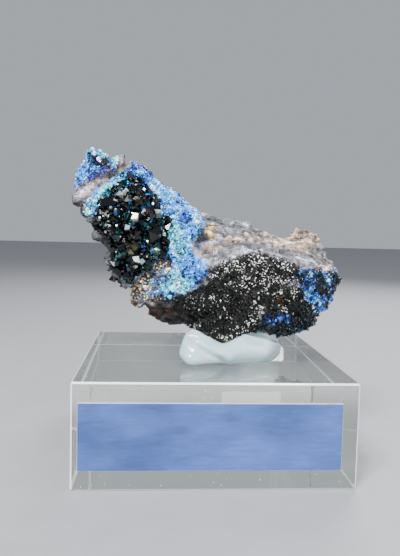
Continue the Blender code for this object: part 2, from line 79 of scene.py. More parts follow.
# The soft lights: place, size and brightness. They are aimed at one point, and the room around
# them has a colour of its own.
LIGHTS = {
    "key_softbox": ((-110, -230, 290), 110, 84.0),
    "low_softbox": ((70, -330, 110), 55, 52.0),
    "side_softbox": ((330, -160, 160), 260, 3.4),
    "rim_softbox": ((140, 280, 260), 200, 13.0),
}
LIGHT_AIM = Vector((0, -5, 38))
ROOM_COLOUR = (0.86, 0.92, 1.0, 1.0)

# The light that a white surface of the specimen sends back, and how much light shows as
# which screen level under the view's soft tone curve.
WHITE_LIGHT = 2.85
SCREEN_LEVELS = (1, 16, 32, 64, 96, 128, 160, 192, 208, 224, 236, 246, 255)
SCREEN_LIGHT = (0.0004, 0.0085, 0.0201, 0.059, 0.118, 0.2165, 0.41, 0.82, 1.3, 2.5, 4.4, 7.6,
                16.5)

# Each patch of crystals, by its CAD node: how far back it reaches, as y, and its outline from
# the front as (x, z).
PATCHES = {
    "lazulite_crystals": (-6.0, [
        (-22.2, 46.0), (-22.2, 47.3), (-21.8, 49.0), (-21.1, 50.8), (-20.3, 51.9), (-19.0, 52.8),
        (-17.6, 53.6), (-16.2, 54.5), (-15.0, 54.8), (-13.8, 53.6), (-12.6, 52.2), (-11.6, 51.0),
        (-11.0, 49.8), (-10.6, 48.5), (-9.5, 47.5), (-9.0, 46.3), (-9.3, 44.9), (-8.9, 43.0),
        (-8.4, 42.0), (-8.0, 41.2), (-9.6, 39.9), (-11.4, 38.3), (-13.4, 36.4), (-15.6, 34.9),
        (-18.9, 35.6), (-19.3, 38.5), (-19.0, 40.8), (-19.8, 42.7), (-21.2, 44.5),
    ]),
    "blue_druse_tip": (2.5, [
        (-26.7, 52.0), (-25.8, 52.7), (-24.7, 53.4), (-23.7, 54.1), (-22.3, 54.8), (-21.0, 55.6),
        (-19.6, 56.2), (-18.7, 56.9), (-18.5, 57.8), (-18.4, 62), (-26, 62), (-29, 55),
    ]),
    "blue_druse_ridge": (-3.0, [
        (-24.2, 47.4), (-24.3, 49.3), (-23.6, 50.3), (-22.4, 51.8), (-21.0, 52.9), (-19.7, 53.9),
        (-18.4, 54.7), (-17.0, 55.8), (-15.9, 56.9), (-15.2, 58.8), (-11, 57), (-3, 51),
        (-1.9, 46.2), (-3.1, 44.6), (-4.6, 42.5), (-4.8, 41.1), (-4.0, 40.0), (-1.9, 38.9),
        (-1.0, 37.0), (-2.7, 34.9), (-4.8, 33.5), (-6.7, 32.8), (-8.6, 32.3), (-10.5, 31.9),
        (-12.6, 31.5), (-13.8, 30.6), (-15.6, 30.4), (-16.2, 33), (-13, 37), (-15, 45), (-20, 49),
    ]),
    "blue_druse_right": (1.0, [
        (17.0, 37.6), (19.9, 38.3), (22.6, 38.2), (24.6, 37.4), (27, 35.2), (25, 30), (21.4, 28.6),
        (20.2, 29.4), (19.8, 30.8), (18.2, 32.4), (16.9, 34.6), (16.2, 36.2),
    ]),
    "blue_druse_under": (2.5, [
        (9.4, 29.2), (12.5, 29.4), (15.5, 28.8), (17.4, 29.4), (20.4, 29.0), (22, 27), (19, 23),
        (13, 23), (9.4, 26),
    ]),
    "dark_druse_face": (-3.0, [
        (-1.4, 37.1), (2.7, 39.0), (6.1, 40.4), (9.6, 40.6), (12.9, 39.6), (16.4, 38.4), (16.6, 36),
        (16.6, 34.7), (18.1, 32.6), (19.6, 30.8), (20.6, 29.4), (17.6, 28.4), (15.6, 28.8),
        (12.5, 29.2), (9.2, 29.2), (9.2, 26), (6.8, 24.8), (3.0, 22.4), (0.6, 22.6), (-0.7, 24.9),
        (-4.8, 26.3), (-3.9, 29), (-6, 31.1), (-9.4, 31.0), (-9.2, 31.4), (-4.4, 33.1),
        (-1.7, 34.6), (-0.2, 36),
    ]),
}

# Mixes of crystal colours: each is (share, screen colour from 0 to 255).
MIXES = {
    "sky": [(35, (86, 180, 226)), (24, (122, 208, 242)), (9, (180, 232, 244)),
            (12, (26, 92, 150)), (15, (4, 24, 48)), (5, (234, 246, 248))],
    "cyan": [(36, (132, 218, 226)), (26, (184, 240, 236)), (14, (84, 182, 204)),
             (12, (10, 54, 72)), (12, (240, 250, 246))],
    "mid_blue": [(32, (52, 134, 208)), (22, (96, 182, 232)), (18, (22, 70, 148)),
                 (20, (4, 16, 42)), (8, (190, 228, 248))],
    "periwinkle": [(38, (88, 118, 214)), (26, (58, 70, 178)), (16, (140, 178, 238)),
                   (20, (8, 10, 50))],
    "royal": [(46, (10, 34, 108)), (26, (4, 14, 56)), (18, (26, 66, 160)), (10, (86, 140, 206))],
    "right_blue": [(26, (58, 128, 196)), (22, (104, 172, 218)), (18, (12, 40, 84)),
                   (18, (3, 16, 26)), (16, (196, 220, 232))],
    "navy": [(50, (3, 14, 32)), (24, (6, 30, 50)), (18, (10, 46, 62)), (8, (56, 110, 146))],
    "deep_teal": [(48, (2, 18, 26)), (24, (4, 44, 54)), (18, (4, 12, 36)), (10, (56, 116, 132))],
    "lilac_grit": [(44, (168, 164, 172)), (30, (122, 118, 128)), (14, (214, 210, 212)),
                   (12, (30, 30, 32))],
    "sand": [(30, (190, 176, 148)), (24, (146, 126, 98)), (20, (84, 68, 50)),
             (14, (236, 230, 214)), (12, (30, 26, 20))],
    "sand_and_sky": [(20, (190, 176, 146)), (14, (122, 106, 84)), (12, (232, 230, 218)),
                     (24, (88, 176, 218)), (18, (146, 222, 234)), (12, (26, 36, 38))],
    "olive": [(36, (40, 36, 26)), (22, (86, 76, 54)), (24, (14, 14, 11)), (18, (186, 178, 150))],
    "rust": [(44, (104, 60, 30)), (26, (156, 104, 58)), (30, (26, 16, 10))],
    # The palest colours of the black and cream sugar mixes are partly pale grains of their own and
    # partly painted glints.
    "black_sugar": [(50, (4, 5, 4)), (18, (20, 22, 18)), (13, (54, 56, 50)),
                    (9, (134, 136, 132)), (10, (220, 222, 220))],
    "cream_sugar": [(42, (5, 6, 5)), (16, (40, 41, 36)), (16, (152, 154, 150)),
                    (26, (230, 231, 228))],
    "grey_sugar": [(36, (18, 21, 22)), (30, (62, 70, 72)), (20, (8, 10, 10)), (14, (168, 176, 174))],
    "fine_dark": [(46, (8, 10, 7)), (24, (26, 28, 22)), (14, (3, 4, 3)), (9, (106, 108, 100)),
                  (7, (208, 210, 204))],
    "white_grit": [(40, (230, 230, 220)), (26, (172, 176, 166)), (34, (34, 38, 36))],
    "green_black": [(54, (2, 6, 5)), (24, (6, 20, 17)), (14, (12, 42, 36)), (8, (84, 118, 110))],
    # The two palest colours of the lazulite mix are painted glints on small crystals.
    "lazulite": [(42, (1, 3, 4)), (14, (3, 16, 20)), (10, (3, 8, 28)), (12, (6, 42, 36)),
                 (9, (26, 88, 92)), (6, (110, 172, 172)), (7, (226, 240, 238))],
    "hollow": [(74, (2, 4, 8)), (16, (10, 20, 44)), (10, (64, 84, 130))],
    "emerald": [(50, (4, 34, 28)), (22, (16, 72, 58)), (28, (2, 8, 8))],
    "teal": [(36, (12, 62, 74)), (34, (4, 24, 30)), (20, (84, 150, 158)), (10, (2, 6, 8))],
    "moss": [(24, (116, 118, 84)), (26, (44, 56, 38)), (16, (186, 190, 160)), (34, (8, 14, 12))],
    "pale_beads": [(50, (208, 198, 198)), (26, (160, 146, 146)), (24, (234, 228, 228))],
}

# Where each mix of crystals lies: the mix, a line of places (x, z) and how far it spreads.
CRYSTAL_AREAS = {
    "lazulite_crystals": ("lazulite", [
        ("emerald", [(-21.5, 47.4)], 0.9), ("emerald", [(-19.0, 46.8)], 0.8),
        ("emerald", [(-17.6, 50.6)], 1.2), ("emerald", [(-12.1, 38.4)], 0.9),
        ("teal", [(-14.6, 48.6), (-13.0, 49.6)], 0.9), ("teal", [(-18.4, 43.4)], 0.9),
        ("moss", [(-18.0, 41.8), (-16.4, 41.6), (-15.0, 40.6)], 0.9),
        ("navy", [(-14.4, 54.2), (-12.6, 52.4)], 1.2), ("navy", [(-17.5, 36.6), (-15, 36)], 1.3),
    ]),
    "blue_druse_tip": ("sky", [
        ("periwinkle", [(-23.2, 54.6), (-19.8, 55.6)], 0.9),
        ("hollow", [(-22.9, 58.4), (-22.6, 57.4), (-21.2, 57.0), (-20.4, 57.1)], 1.0),
        ("mid_blue", [(-25.4, 53.4)], 0.6),
        ("cyan", [(-23.8, 59.6), (-21.4, 59.0), (-18.6, 57.8)], 0.7),
    ]),
    "blue_druse_ridge": ("sky", [
        ("cyan", [(-22.4, 50.2), (-20.4, 52.0), (-17.0, 54.0)], 0.9), ("cyan", [(-24.2, 48.2)], 1.0),
        ("mid_blue", [(-22.8, 51.2)], 0.8), ("mid_blue", [(-15.2, 56.4), (-12.6, 54.6)], 1.3),
        ("cyan", [(-8.4, 46.0), (-7.6, 43.0), (-6.6, 41.0)], 1.6),
        ("cyan", [(-10, 34.2), (-7, 33.8)], 0.8), ("mid_blue", [(-2.8, 37.0)], 1.0),
        ("cyan", [(-7.6, 35.6), (-5.4, 34.6)], 1.3), ("mid_blue", [(-5.4, 47.4)], 1.2),
        ("olive", [(-12.6, 37.6), (-10.0, 39.6)], 1.2), ("rust", [(-8.6, 38.8), (-8.2, 38.0)], 0.7),
        ("sand", [(-11.4, 36.6), (-9.4, 38.4)], 1.1), ("sand", [(-14.6, 34.6), (-12.4, 36.4)], 1.5),
        ("sand", [(-15.4, 31.4), (-13.4, 33.0)], 1.9), ("olive", [(-14.4, 33.8), (-12.6, 35.2)], 0.8),
        ("sand", [(-12.6, 31.2), (-9.6, 32.0)], 0.6),
        ("sand_and_sky", [(-11.8, 32.6), (-10, 36.8)], 1.5), ("sky", [(-11.1, 34.9)], 1.0),
    ]),
    "blue_druse_right": ("right_blue", [
        ("deep_teal", [(16.9, 36.2)], 1.0), ("navy", [(21.6, 34.0), (20.2, 36.6)], 1.1),
        ("sky", [(18.6, 33.2), (19.6, 31.8)], 1.0), ("pale_beads", [(19.8, 38.6), (22.6, 38.2)], 0.8),
        ("mid_blue", [(19.2, 35.8)], 1.0), ("deep_teal", [(24.2, 36.8), (23.8, 33.6)], 0.9),
    ]),
    "blue_druse_under": ("deep_teal", [
        ("royal", [(10.4, 28.4), (11.4, 28.0)], 1.1), ("mid_blue", [(13.4, 28.6), (14.6, 28.2)], 0.8),
        ("navy", [(15.6, 27.0), (18.4, 26.6)], 1.2),
    ]),
    "dark_druse_face": ("black_sugar", [
        ("cream_sugar", [(0.4, 36.9), (5.2, 39.2), (10, 39.3), (14.6, 38.0)], 0.9),
        ("cream_sugar", [(5.0, 36.4), (8.6, 35.2), (10.6, 36.6), (13.0, 35.8)], 0.8),
        ("white_grit", [(4.2, 37.6), (5.8, 37.2)], 0.5),
        ("white_grit", [(11.4, 36.4), (13.2, 35.6)], 0.6),
        ("lilac_grit", [(13.8, 34.9), (16.2, 34.8)], 0.8),
        ("white_grit", [(15.9, 34.0), (14.8, 31.8)], 0.35),
        ("white_grit", [(1.6, 24.8), (3, 24.2)], 0.5),
        ("grey_sugar", [(-8.4, 31.4), (-5.1, 31.9), (-2.2, 32.6)], 1.5),
        ("fine_dark", [(-3.6, 28.8), (-0.8, 26.4), (2.6, 26.6)], 1.7),
        ("rust", [(13.1, 32.4), (12.9, 31.2)], 0.6), ("green_black", [(15.6, 31.2), (18.4, 30.2)], 1.2),
        ("green_black", [(9.6, 31.4)], 1.0),
    ]),
}

# How strongly like colours gather in clusters, and the patches where they do so more.
GATHERING = 0.55
MORE_GATHERING = 0.9
GATHERED = ("blue_druse_tip", "blue_druse_ridge", "blue_druse_right")

# Dark crystals wider than this look darker still, because light is lost in them: by the
# power of how much wider they are, down to the darkest share.
CLEAR_WIDTH = 0.65
WIDTH_POWER = 1.6
DARKEST_SHARE = 0.16

# Painted shade at a small crystal's root and painted light at its top, and at a bright facet's, as
# shares of its own colour.
SMALL_PAINTED_SHADES = (0.25, 1.4)
GLINT_PAINTED_SHADES = (0.02, 1.0)

# How far the large crystals are sunk, how dark they are, and how far the bright ones are
# raised.
LARGE_SUNK = 0.35
LARGE_DARKNESS = 0.3
BRIGHT_RAISED = 0.3

# How far the copies of the CAD solids are grown before they are melted into one skin, how
# often the skin is smoothed, and the size of the putty's cells.
ROCK_GROWTH = 0.14
CRUST_GROWTH = 0.26
ROCK_SMOOTHING = 5
PUTTY_GROWTH = 0.15
PUTTY_SMOOTHING = 9
PUTTY_CELL = 0.25

# How much the rock's colours vary with fine noise, and how strongly its relief paints shade into
# hollows and cracks and light onto ridges.
SPECKLE_STRENGTH = 1.485
PAINTED_RELIEF_SHADE_STRENGTH = 1.1

# The label's corner radius and front edge, and the gap behind it for its glue.
LABEL_CORNER = 0.25
LABEL_EDGE = 0.1
LABEL_GAP = 0.02

# Crumbs of dust on the block, and the floor's reach and the gap under the block.
DUST_ON_TOP = 130
DUST_IN_FRONT = 40
DUST_WIDTHS = (0.08, 0.22)
FLOOR_REACH = 1500.0
FLOOR_GAP = 0.02

# The bare rock's usual colour, the colour of its rusty grains, and its areas of other colours,
# two of them painted shade: the colour, a line of places (x, z) and how far it spreads.
ROCK_COLOUR = (156, 157, 163)
RUST_COLOUR = (176, 96, 44)
ROCK_AREAS = [
    ((196, 184, 174), [(-1.5, 41.8), (2.6, 43.2), (7.2, 43.9), (11.9, 42.7), (17.4, 41.6)], 0.9),
    ((192, 176, 160), [(14.4, 44.0), (16.1, 44.9), (18.6, 43.8), (17.0, 42.6)], 1.7),
    ((160, 164, 170), [(0.5, 46.6), (4, 46.0), (7, 45.8)], 1.3),
    ((150, 153, 160), [(-2.1, 38.9), (2.3, 40.9), (7.7, 42.2), (13.1, 41.1)], 0.9),
    ((168, 168, 172), [(13.1, 41.1), (21.8, 38.8)], 0.9),
    ((206, 190, 142), [(-0.9, 45.4), (-0.5, 44.0)], 0.8),
    ((70, 72, 74), [(-3.2, 44.0), (-2.2, 42.9)], 1.1),
    ((104, 154, 196), [(-2.7, 42.0), (-0.4, 42.9), (1.5, 43.3)], 0.4),
    ((160, 150, 148), [(21.8, 39.6), (23.6, 37.6)], 1.2),
    ((180, 172, 178), [(-25.8, 50.6), (-23.4, 52.2), (-21.0, 54.4), (-16.8, 57.6)], 1.4),
    ((142, 122, 104), [(-24.6, 50.8), (-22.8, 52.5)], 0.5),
    ((136, 120, 106), [(-19.8, 54.9), (-17.4, 56.8)], 0.5),
    # The rock's brown under the low bulge, darkened further as painted shade of the underside that
    # faces down.
    ((30, 24, 18), [(-13.4, 29.6), (-9.1, 29.4), (-5.0, 28.0)], 2.6),
    ((150, 108, 70), [(-12.0, 29.4), (-10.6, 28.6)], 0.8),
    ((138, 98, 66), [(-8.8, 29.4), (-7.2, 28.6)], 0.8),
    ((176, 164, 150), [(-14.2, 30.4), (-12.8, 28.2)], 0.5),
    ((136, 124, 116), [(-11.4, 31.0), (-8.4, 30.8)], 0.4),
    ((64, 62, 68), [(-7.6, 31.2), (-7.0, 30.4), (-1.4, 28.1)], 1.4),
    # Painted shade on the wing's left side, which is turned away from the light.
    ((36, 40, 36), [(-25.9, 47.4), (-23.6, 44.4), (-20.8, 40.4)], 2.4),
    ((128, 126, 132), [(14.9, 34.8)], 1.0),
]

# The stretches of rock that broke smooth.
SMOOTH_STRIPS = [
    [(-2.1, 38.9), (2.3, 40.9), (7.7, 42.2), (13.1, 41.1), (21.8, 38.8)],
    [(-25.4, 51.0), (-21.0, 54.4), (-16.8, 57.4)],
]

# The mottled colours of the rock's back: grey, tan and dark grey.
BACK_COLOURS = ((148, 144, 144), (172, 160, 148), (112, 110, 112))

# Cracks and folds of the rock: a line of places (x, z), half its width and its depth, which
# is below zero where the rock juts out.
CREASES = [
    ([(-26.4, 50.4), (-25.8, 50.2)], 0.6, -0.6),
    ([(-26.0, 49.4), (-25.0, 47.8), (-24.3, 46.8)], 0.6, -0.5),
    ([(-1.8, 40.9), (-0.6, 40.9), (0.4, 40.2)], 0.28, 0.7),
    ([(20.0, 41.7), (20.8, 40.9), (21.4, 40.6)], 0.25, 0.6),
    ([(-7.2, 31.0), (-4.2, 30.2), (-1.2, 28.9)], 0.28, 0.7),
    ([(-7.4, 30.2), (-4.6, 29.4), (-1.6, 28.0)], 0.28, 0.7),
    ([(-7.6, 29.4), (-5.0, 28.5), (-2.2, 27.2)], 0.28, 0.7),
    ([(-8.0, 28.4), (-5.6, 27.6), (-3.4, 26.6)], 0.28, 0.6),
    ([(-12.9, 30.4), (-11.4, 28.4), (-11.0, 27.2)], 0.3, 0.5),
    ([(-10.2, 30.6), (-9.2, 28.8), (-8.8, 27.0)], 0.3, 0.5),
    ([(2.0, 44.6), (6.0, 44.9), (9.6, 43.8)], 0.25, 0.45),
    ([(12.8, 41.2), (16.4, 41.5), (19.0, 40.2)], 0.25, 0.45),
    ([(-0.2, 45.8), (2.0, 46.3), (4.6, 45.5)], 0.2, 0.4),
    ([(6.4, 45.3), (8.8, 44.7)], 0.18, 0.4),
    ([(3.0, 42.2), (6.2, 43.1), (8.0, 42.8)], 0.2, 0.4),
    ([(9.6, 42.6), (12.2, 42.2)], 0.18, 0.4),
    ([(15.6, 42.4), (16.4, 43.8), (18.0, 44.4)], 0.2, 0.4),
]

# The larger lazulite crystals, as (x, z, width).
LARGE_CRYSTALS = [
    (-11.6, 43.9, 4.4), (-15.4, 47.4, 2.2), (-14.9, 39.0, 3.4), (-12.8, 38.6, 2.4),
    (-18.0, 36.9, 3.0), (-16.0, 35.8, 3.0), (-18.4, 39.6, 2.4), (-11.2, 40.8, 2.2),
    (-14.6, 44.0, 3.2), (-12.1, 47.8, 2.2), (-14.6, 50.6, 1.7), (-15.6, 52.6, 1.6),
    (-17.9, 50.4, 1.8), (-20.0, 48.8, 1.6), (-21.4, 47.2, 1.4), (-19.2, 46.6, 2.0),
    (-16.8, 45.4, 2.0), (-19.8, 44.8, 1.8), (-18.1, 43.3, 2.2), (-17.0, 41.5, 2.4),
    (-10.2, 46.2, 1.9), (-9.6, 41.6, 2.0), (-14.9, 41.4, 2.2),
]

# By patch, crystals with a flat top turned towards the eye, and the more of the key light's
# mirror image in it the nearer its share is to 1: (x, z), width, share and colour. The colours
# are painted highlights that stand for the key light's glint on each top.
PAINTED_GLINT_FACETS = {
    "lazulite_crystals": [
        ((-15.0, 46.9), 1.9, 1.0, (236, 232, 222)), ((-16.4, 45.0), 1.3, 0.5, (170, 190, 200)),
        ((-10.8, 47.4), 1.2, 0.4, (74, 96, 100)), ((-14.6, 38.8), 1.6, 0.6, (186, 196, 196)),
        ((-13.4, 38.6), 1.2, 0.4, (150, 172, 174)), ((-18.3, 36.5), 1.3, 0.4, (50, 60, 92)),
        ((-13.0, 50.2), 0.5, 0.9, (190, 216, 220)), ((-10.4, 44.8), 0.9, 0.4, (90, 118, 126)),
        ((-19.6, 48.6), 0.6, 1.0, (210, 218, 222)), ((-21.6, 46.8), 0.6, 0.8, (190, 206, 214)),
        ((-12.6, 42.4), 0.5, 1.0, (220, 232, 236)), ((-17.0, 38.6), 0.5, 1.0, (210, 224, 234)),
        ((-11.8, 49.4), 0.6, 0.9, (200, 226, 230)), ((-18.6, 45.4), 0.5, 1.0, (200, 226, 230)),
        ((-13.2, 52.0), 0.6, 1.0, (214, 226, 232)), ((-17.2, 48.4), 0.5, 0.9, (200, 224, 228)),
    ],
    "blue_druse_tip": [
        ((-22.6, 58.3), 1.2, 0.5, (206, 202, 222)), ((-22.0, 57.5), 0.9, 0.6, (216, 212, 228)),
        ((-21.5, 56.8), 0.6, 0.8, (228, 226, 236)), ((-20.6, 58.0), 0.9, 0.4, (160, 178, 190)),
    ],
}

# Profiles of the crystals, as (height, half width) shares up the axis.
SPIKE = ((-0.55, 0.0), (0.0, 1.0), (0.55, 0.0))
GRAIN = ((-0.5, 0.0), (-0.12, 1.0), (0.25, 0.8), (0.55, 0.0))
WEDGE = ((-0.5, 0.0), (-0.4, 0.85), (0.25, 1.0), (0.86, 0.22), (0.92, 0.0))
STUB = ((-0.5, 0.0), (-0.45, 0.9), (0.5, 1.0), (0.86, 0.5), (0.9, 0.0))
PLATE = ((-0.6, 0.0), (-0.55, 0.8), (0.9, 1.0), (1.0, 0.88), (1.0, 0.0))

# The groups of crystals of each blue or black patch, as (spacing, widths, length for a width,
# lean, sides, profile, slant), and those between the large lazulite crystals.
DRUSE_GROUPS = {
    "blue_druse_tip": [
        (0.3, (0.2, 0.42), 1.3, 0.9, 4, SPIKE, 0.0), (0.9, (0.4, 0.75), 1.1, 0.8, 4, GRAIN, 0.2),
    ],
    "blue_druse_ridge": [
        (0.3, (0.2, 0.42), 1.2, 1.0, 4, SPIKE, 0.0), (0.85, (0.4, 0.85), 1.0, 0.8, 4, GRAIN, 0.2),
    ],
    "blue_druse_right": [
        (0.33, (0.22, 0.5), 1.2, 0.9, 4, SPIKE, 0.0), (1.0, (0.5, 1.0), 1.0, 0.8, 4, GRAIN, 0.2),
    ],
    "blue_druse_under": [
        (0.4, (0.3, 0.6), 1.2, 0.8, 4, SPIKE, 0.0), (1.2, (0.7, 1.2), 0.7, 0.6, 5, WEDGE, 0.3),
    ],
    "dark_druse_face": [
        (0.3, (0.16, 0.34), 1.4, 1.2, 4, SPIKE, 0.0), (0.62, (0.18, 0.34), 2.6, 1.8, 4, GRAIN, 0.2),
    ],
}
LAZULITE_GROUPS = [
    (1.15, (0.9, 1.8), 0.85, 0.7, 4, WEDGE, 0.4),
    (0.8, (0.5, 1.1), 0.95, 0.9, 5, STUB, 0.3),
    (0.42, (0.28, 0.6), 1.1, 1.0, 4, SPIKE, 0.0),
]

# By patch, the patches whose crystals it leaves room for.
BEFORE = {
    "lazulite_crystals": (),
    "blue_druse_tip": (),
    "blue_druse_ridge": ("lazulite_crystals", "blue_druse_tip"),
    "blue_druse_right": (),
    "blue_druse_under": (),
    "dark_druse_face": ("blue_druse_ridge", "blue_druse_right", "blue_druse_under"),
}

# Folds of the putty: a line of places (x, z), half its width and how far it is lifted.
PUTTY_FOLDS = [
    ([(-4.6, 23.7), (-1.2, 21.5), (2.1, 19.9)], 0.45, -0.55),
    ([(-2.6, 23.0), (0.4, 21.8), (3.3, 20.6)], 0.9, 0.5),
    ([(-3.8, 25.7), (-1.1, 24.3), (1.6, 23.3)], 0.3, 0.35),
    ([(4.4, 22.2), (8.0, 21.9), (11.0, 21.8)], 2.4, 0.8),
    ([(5.5, 25.1), (9.0, 24.0), (12.8, 23.1)], 0.25, 0.3),
    ([(6.2, 25.8), (9.8, 24.9), (12.9, 24.0)], 0.6, -0.5),
    ([(-5.6, 21.0), (-3.2, 20.0)], 0.9, 0.3),
]


def pigment(colour):
    """The surface colour that shows as a screen colour from 0 to 255 under the lights: the
    light of its screen level, read off the tone curve, over the light of a white surface."""
    level = np.maximum(np.asarray(colour, float), 1.0)
    light = np.exp(np.interp(level, SCREEN_LEVELS, np.log(SCREEN_LIGHT)))
    return np.clip(light / WHITE_LIGHT, 0, 1)


def smooth_step(low, high, value):
    """0 below low, 1 above high, and 3t^2 - 2t^3 between them."""
    t = np.clip((value - low) / (high - low), 0, 1)
    return t * t * (3 - 2 * t)


def unit(vectors):
    """Each vector divided by its own length."""
    return vectors / np.maximum(np.linalg.norm(vectors, axis=-1, keepdims=True), 1e-9)


def cell_number(cells, seed):
    """A repeatable number from 0 to 1 for each whole-number cell: its x, y and z times three
    large odd numbers, added up and scrambled by shifts."""
    big = np.array((374761393, 668265263, 2246822519), np.uint64)
    mixed = (cells.astype(np.int64).astype(np.uint64) * big).sum(-1) + np.uint64(seed * 974711)
    mixed = (mixed ^ (mixed >> np.uint64(13))) * np.uint64(1274126177)
    mixed = mixed ^ (mixed >> np.uint64(16))
    return (mixed & np.uint64(0xFFFFFF)).astype(float) / 0xFFFFFF


def soft_noise(points, size, seed):
    """Noise from -1 to 1: the numbers of a cell's eight corners, mixed by smooth steps."""
    place = points / size
    base = np.floor(place)
    inside = place - base
    inside = inside * inside * (3 - 2 * inside)
    total = np.zeros(len(points))
    for corner in itertools.product((0, 1), repeat=3):
        weight = np.prod(np.where(np.array(corner) == 1, inside, 1 - inside), axis=1)
        total += weight * cell_number(base + corner, seed)
    return 2 * total - 1


def layered_noise(points, size, layers, seed):
    """Soft noises added up, each half as wide and half as strong as the one before."""
    total = np.zeros(len(points))
    turn = np.array(Matrix.Rotation(0.7, 3, Vector((1, 2, 3))))
    for layer in range(layers):
        points = points @ turn
        total += 0.5 ** layer * soft_noise(points, size * 0.5 ** layer, seed + layer)
    return total / (2 - 0.5 ** (layers - 1))


def front_view(points):
    """(x, z) where the straight line from the eye through each point meets the marking plane."""
    share = (MARKING_PLANE - EYE[1]) / (points[:, 1] - EYE[1])
    return (EYE + (points - EYE) * share[:, None])[:, (0, 2)]


def line_distance(places, line, closed=False):
    """Distance from each place (x, z) to the nearest point of a line of straight stretches."""
    start = np.array(line, float)
    end = np.roll(start, -1, axis=0) if closed else np.vstack((start[1:], start[-1:]))
    along = end - start
    length = np.maximum((along ** 2).sum(1), 1e-9)
    share = np.clip(((places[:, None, :] - start) * along).sum(2) / length, 0, 1)
    nearest = start + share[..., None] * along
    return np.linalg.norm(places[:, None, :] - nearest, axis=2).min(1)


def depth_inside(places, outline):
    """Distance from each place (x, z) to a closed outline: positive inside it, by counting how
    many of its sides lie to the right of the place."""
    start = np.array(outline, float)
    end = np.roll(start, -1, axis=0)
    x, z = places[:, :1], places[:, 1:]
    spans = (start[:, 1] > z) != (end[:, 1] > z)
    rise = np.where(end[:, 1] == start[:, 1], 1.0, end[:, 1] - start[:, 1])
    crossing = start[:, 0] + (end[:, 0] - start[:, 0]) * (z - start[:, 1]) / rise
    inside = (spans & (x < crossing)).sum(1) % 2 == 1
    distance = line_distance(places, outline, closed=True)
    return np.where(inside, distance, -distance)


def mesh_arrays(mesh):
    """Corners in millimetres, triangles and corner normals of a mesh."""
    corners = np.empty(len(mesh.vertices) * 3, np.float32)
    mesh.vertices.foreach_get("co", corners)
    normals = np.empty(len(mesh.vertices) * 3, np.float32)
    mesh.vertex_normals.foreach_get("vector", normals)
    mesh.calc_loop_triangles()
    triangles = np.empty(len(mesh.loop_triangles) * 3, np.int32)
    mesh.loop_triangles.foreach_get("vertices", triangles)
    return (corners.reshape(-1, 3).astype(float) / MM, triangles.reshape(-1, 3),
            normals.reshape(-1, 3).astype(float))


def mesh_from_arrays(name, corners, triangles):
    """A mesh of triangles from corners in millimetres."""
    mesh = bpy.data.meshes.new(name)
    mesh.vertices.add(len(corners))
    mesh.vertices.foreach_set("co", (corners * MM).astype(np.float32).ravel())
    mesh.loops.add(triangles.size)
    mesh.loops.foreach_set("vertex_index", triangles.astype(np.int32).ravel())
    mesh.polygons.add(len(triangles))
    mesh.polygons.foreach_set("loop_start", np.arange(0, triangles.size, 3, dtype=np.int32))
    mesh.update(calc_edges=True)
    return mesh


def grown_copy(node, growth):
    """A merged copy of a CAD node, each corner moved out along its normal by the growth."""
    bm = bmesh.new()
    bm.from_mesh(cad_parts[node].data)
    bmesh.ops.remove_doubles(bm, verts=bm.verts, dist=1e-6)
    mesh = bpy.data.meshes.new(node + "_copy")
    bm.to_mesh(mesh)
    bm.free()
    corners, triangles, normals = mesh_arrays(mesh)
    bpy.data.meshes.remove(mesh)
    return corners + normals * growth, triangles


def melted(name, parts, voxel, smoothing):
    """Closed parts joined into one fine skin of cells of the voxel's size, then smoothed."""
    offsets = np.cumsum([0] + [len(corners) for corners, _ in parts])
    corners = np.vstack([corners for corners, _ in parts])
    triangles = np.vstack([triangles + offset for (_, triangles), offset in zip(parts, offsets)])
    thing = bpy.data.objects.new(name, mesh_from_arrays(name, corners, triangles))
    bpy.context.scene.collection.objects.link(thing)
    remesh = thing.modifiers.new("melt", "REMESH")
    remesh.mode = "VOXEL"
    remesh.voxel_size = voxel * MM
    smooth = thing.modifiers.new("smooth", "SMOOTH")
    smooth.factor = 0.5
    smooth.iterations = smoothing
    depsgraph = bpy.context.evaluated_depsgraph_get()
    mesh = bpy.data.meshes.new_from_object(thing.evaluated_get(depsgraph))
    bpy.data.objects.remove(thing, do_unlink=True)
    arrays = mesh_arrays(mesh)
    bpy.data.meshes.remove(mesh)
    return arrays


def crease_depth(points, facing):
    """Depth of the cracks at each point: each one's depth times exp(-(distance / half width)^2)."""
    places = front_view(points)
    places = places + 0.25 * np.stack((soft_noise(points, 1.3, 61), soft_noise(points, 1.3, 62)), 1)
    depth = np.zeros(len(points))
    for line, half_width, deepest in CREASES:
        depth += deepest * np.exp(-(line_distance(places, line) / half_width) ** 2)
    return depth * facing


def patch_depth(node, points):
    """How far inside a patch's outline each point lies, on a ragged edge, and negative behind it."""
    back, outline = PATCHES[node]
    ragged = 0.35 * layered_noise(points, 1.2, 2, 31)
    depth = depth_inside(front_view(points), outline) + ragged
    return np.minimum(depth, (back - points[:, 1]) * 0.8 + ragged)


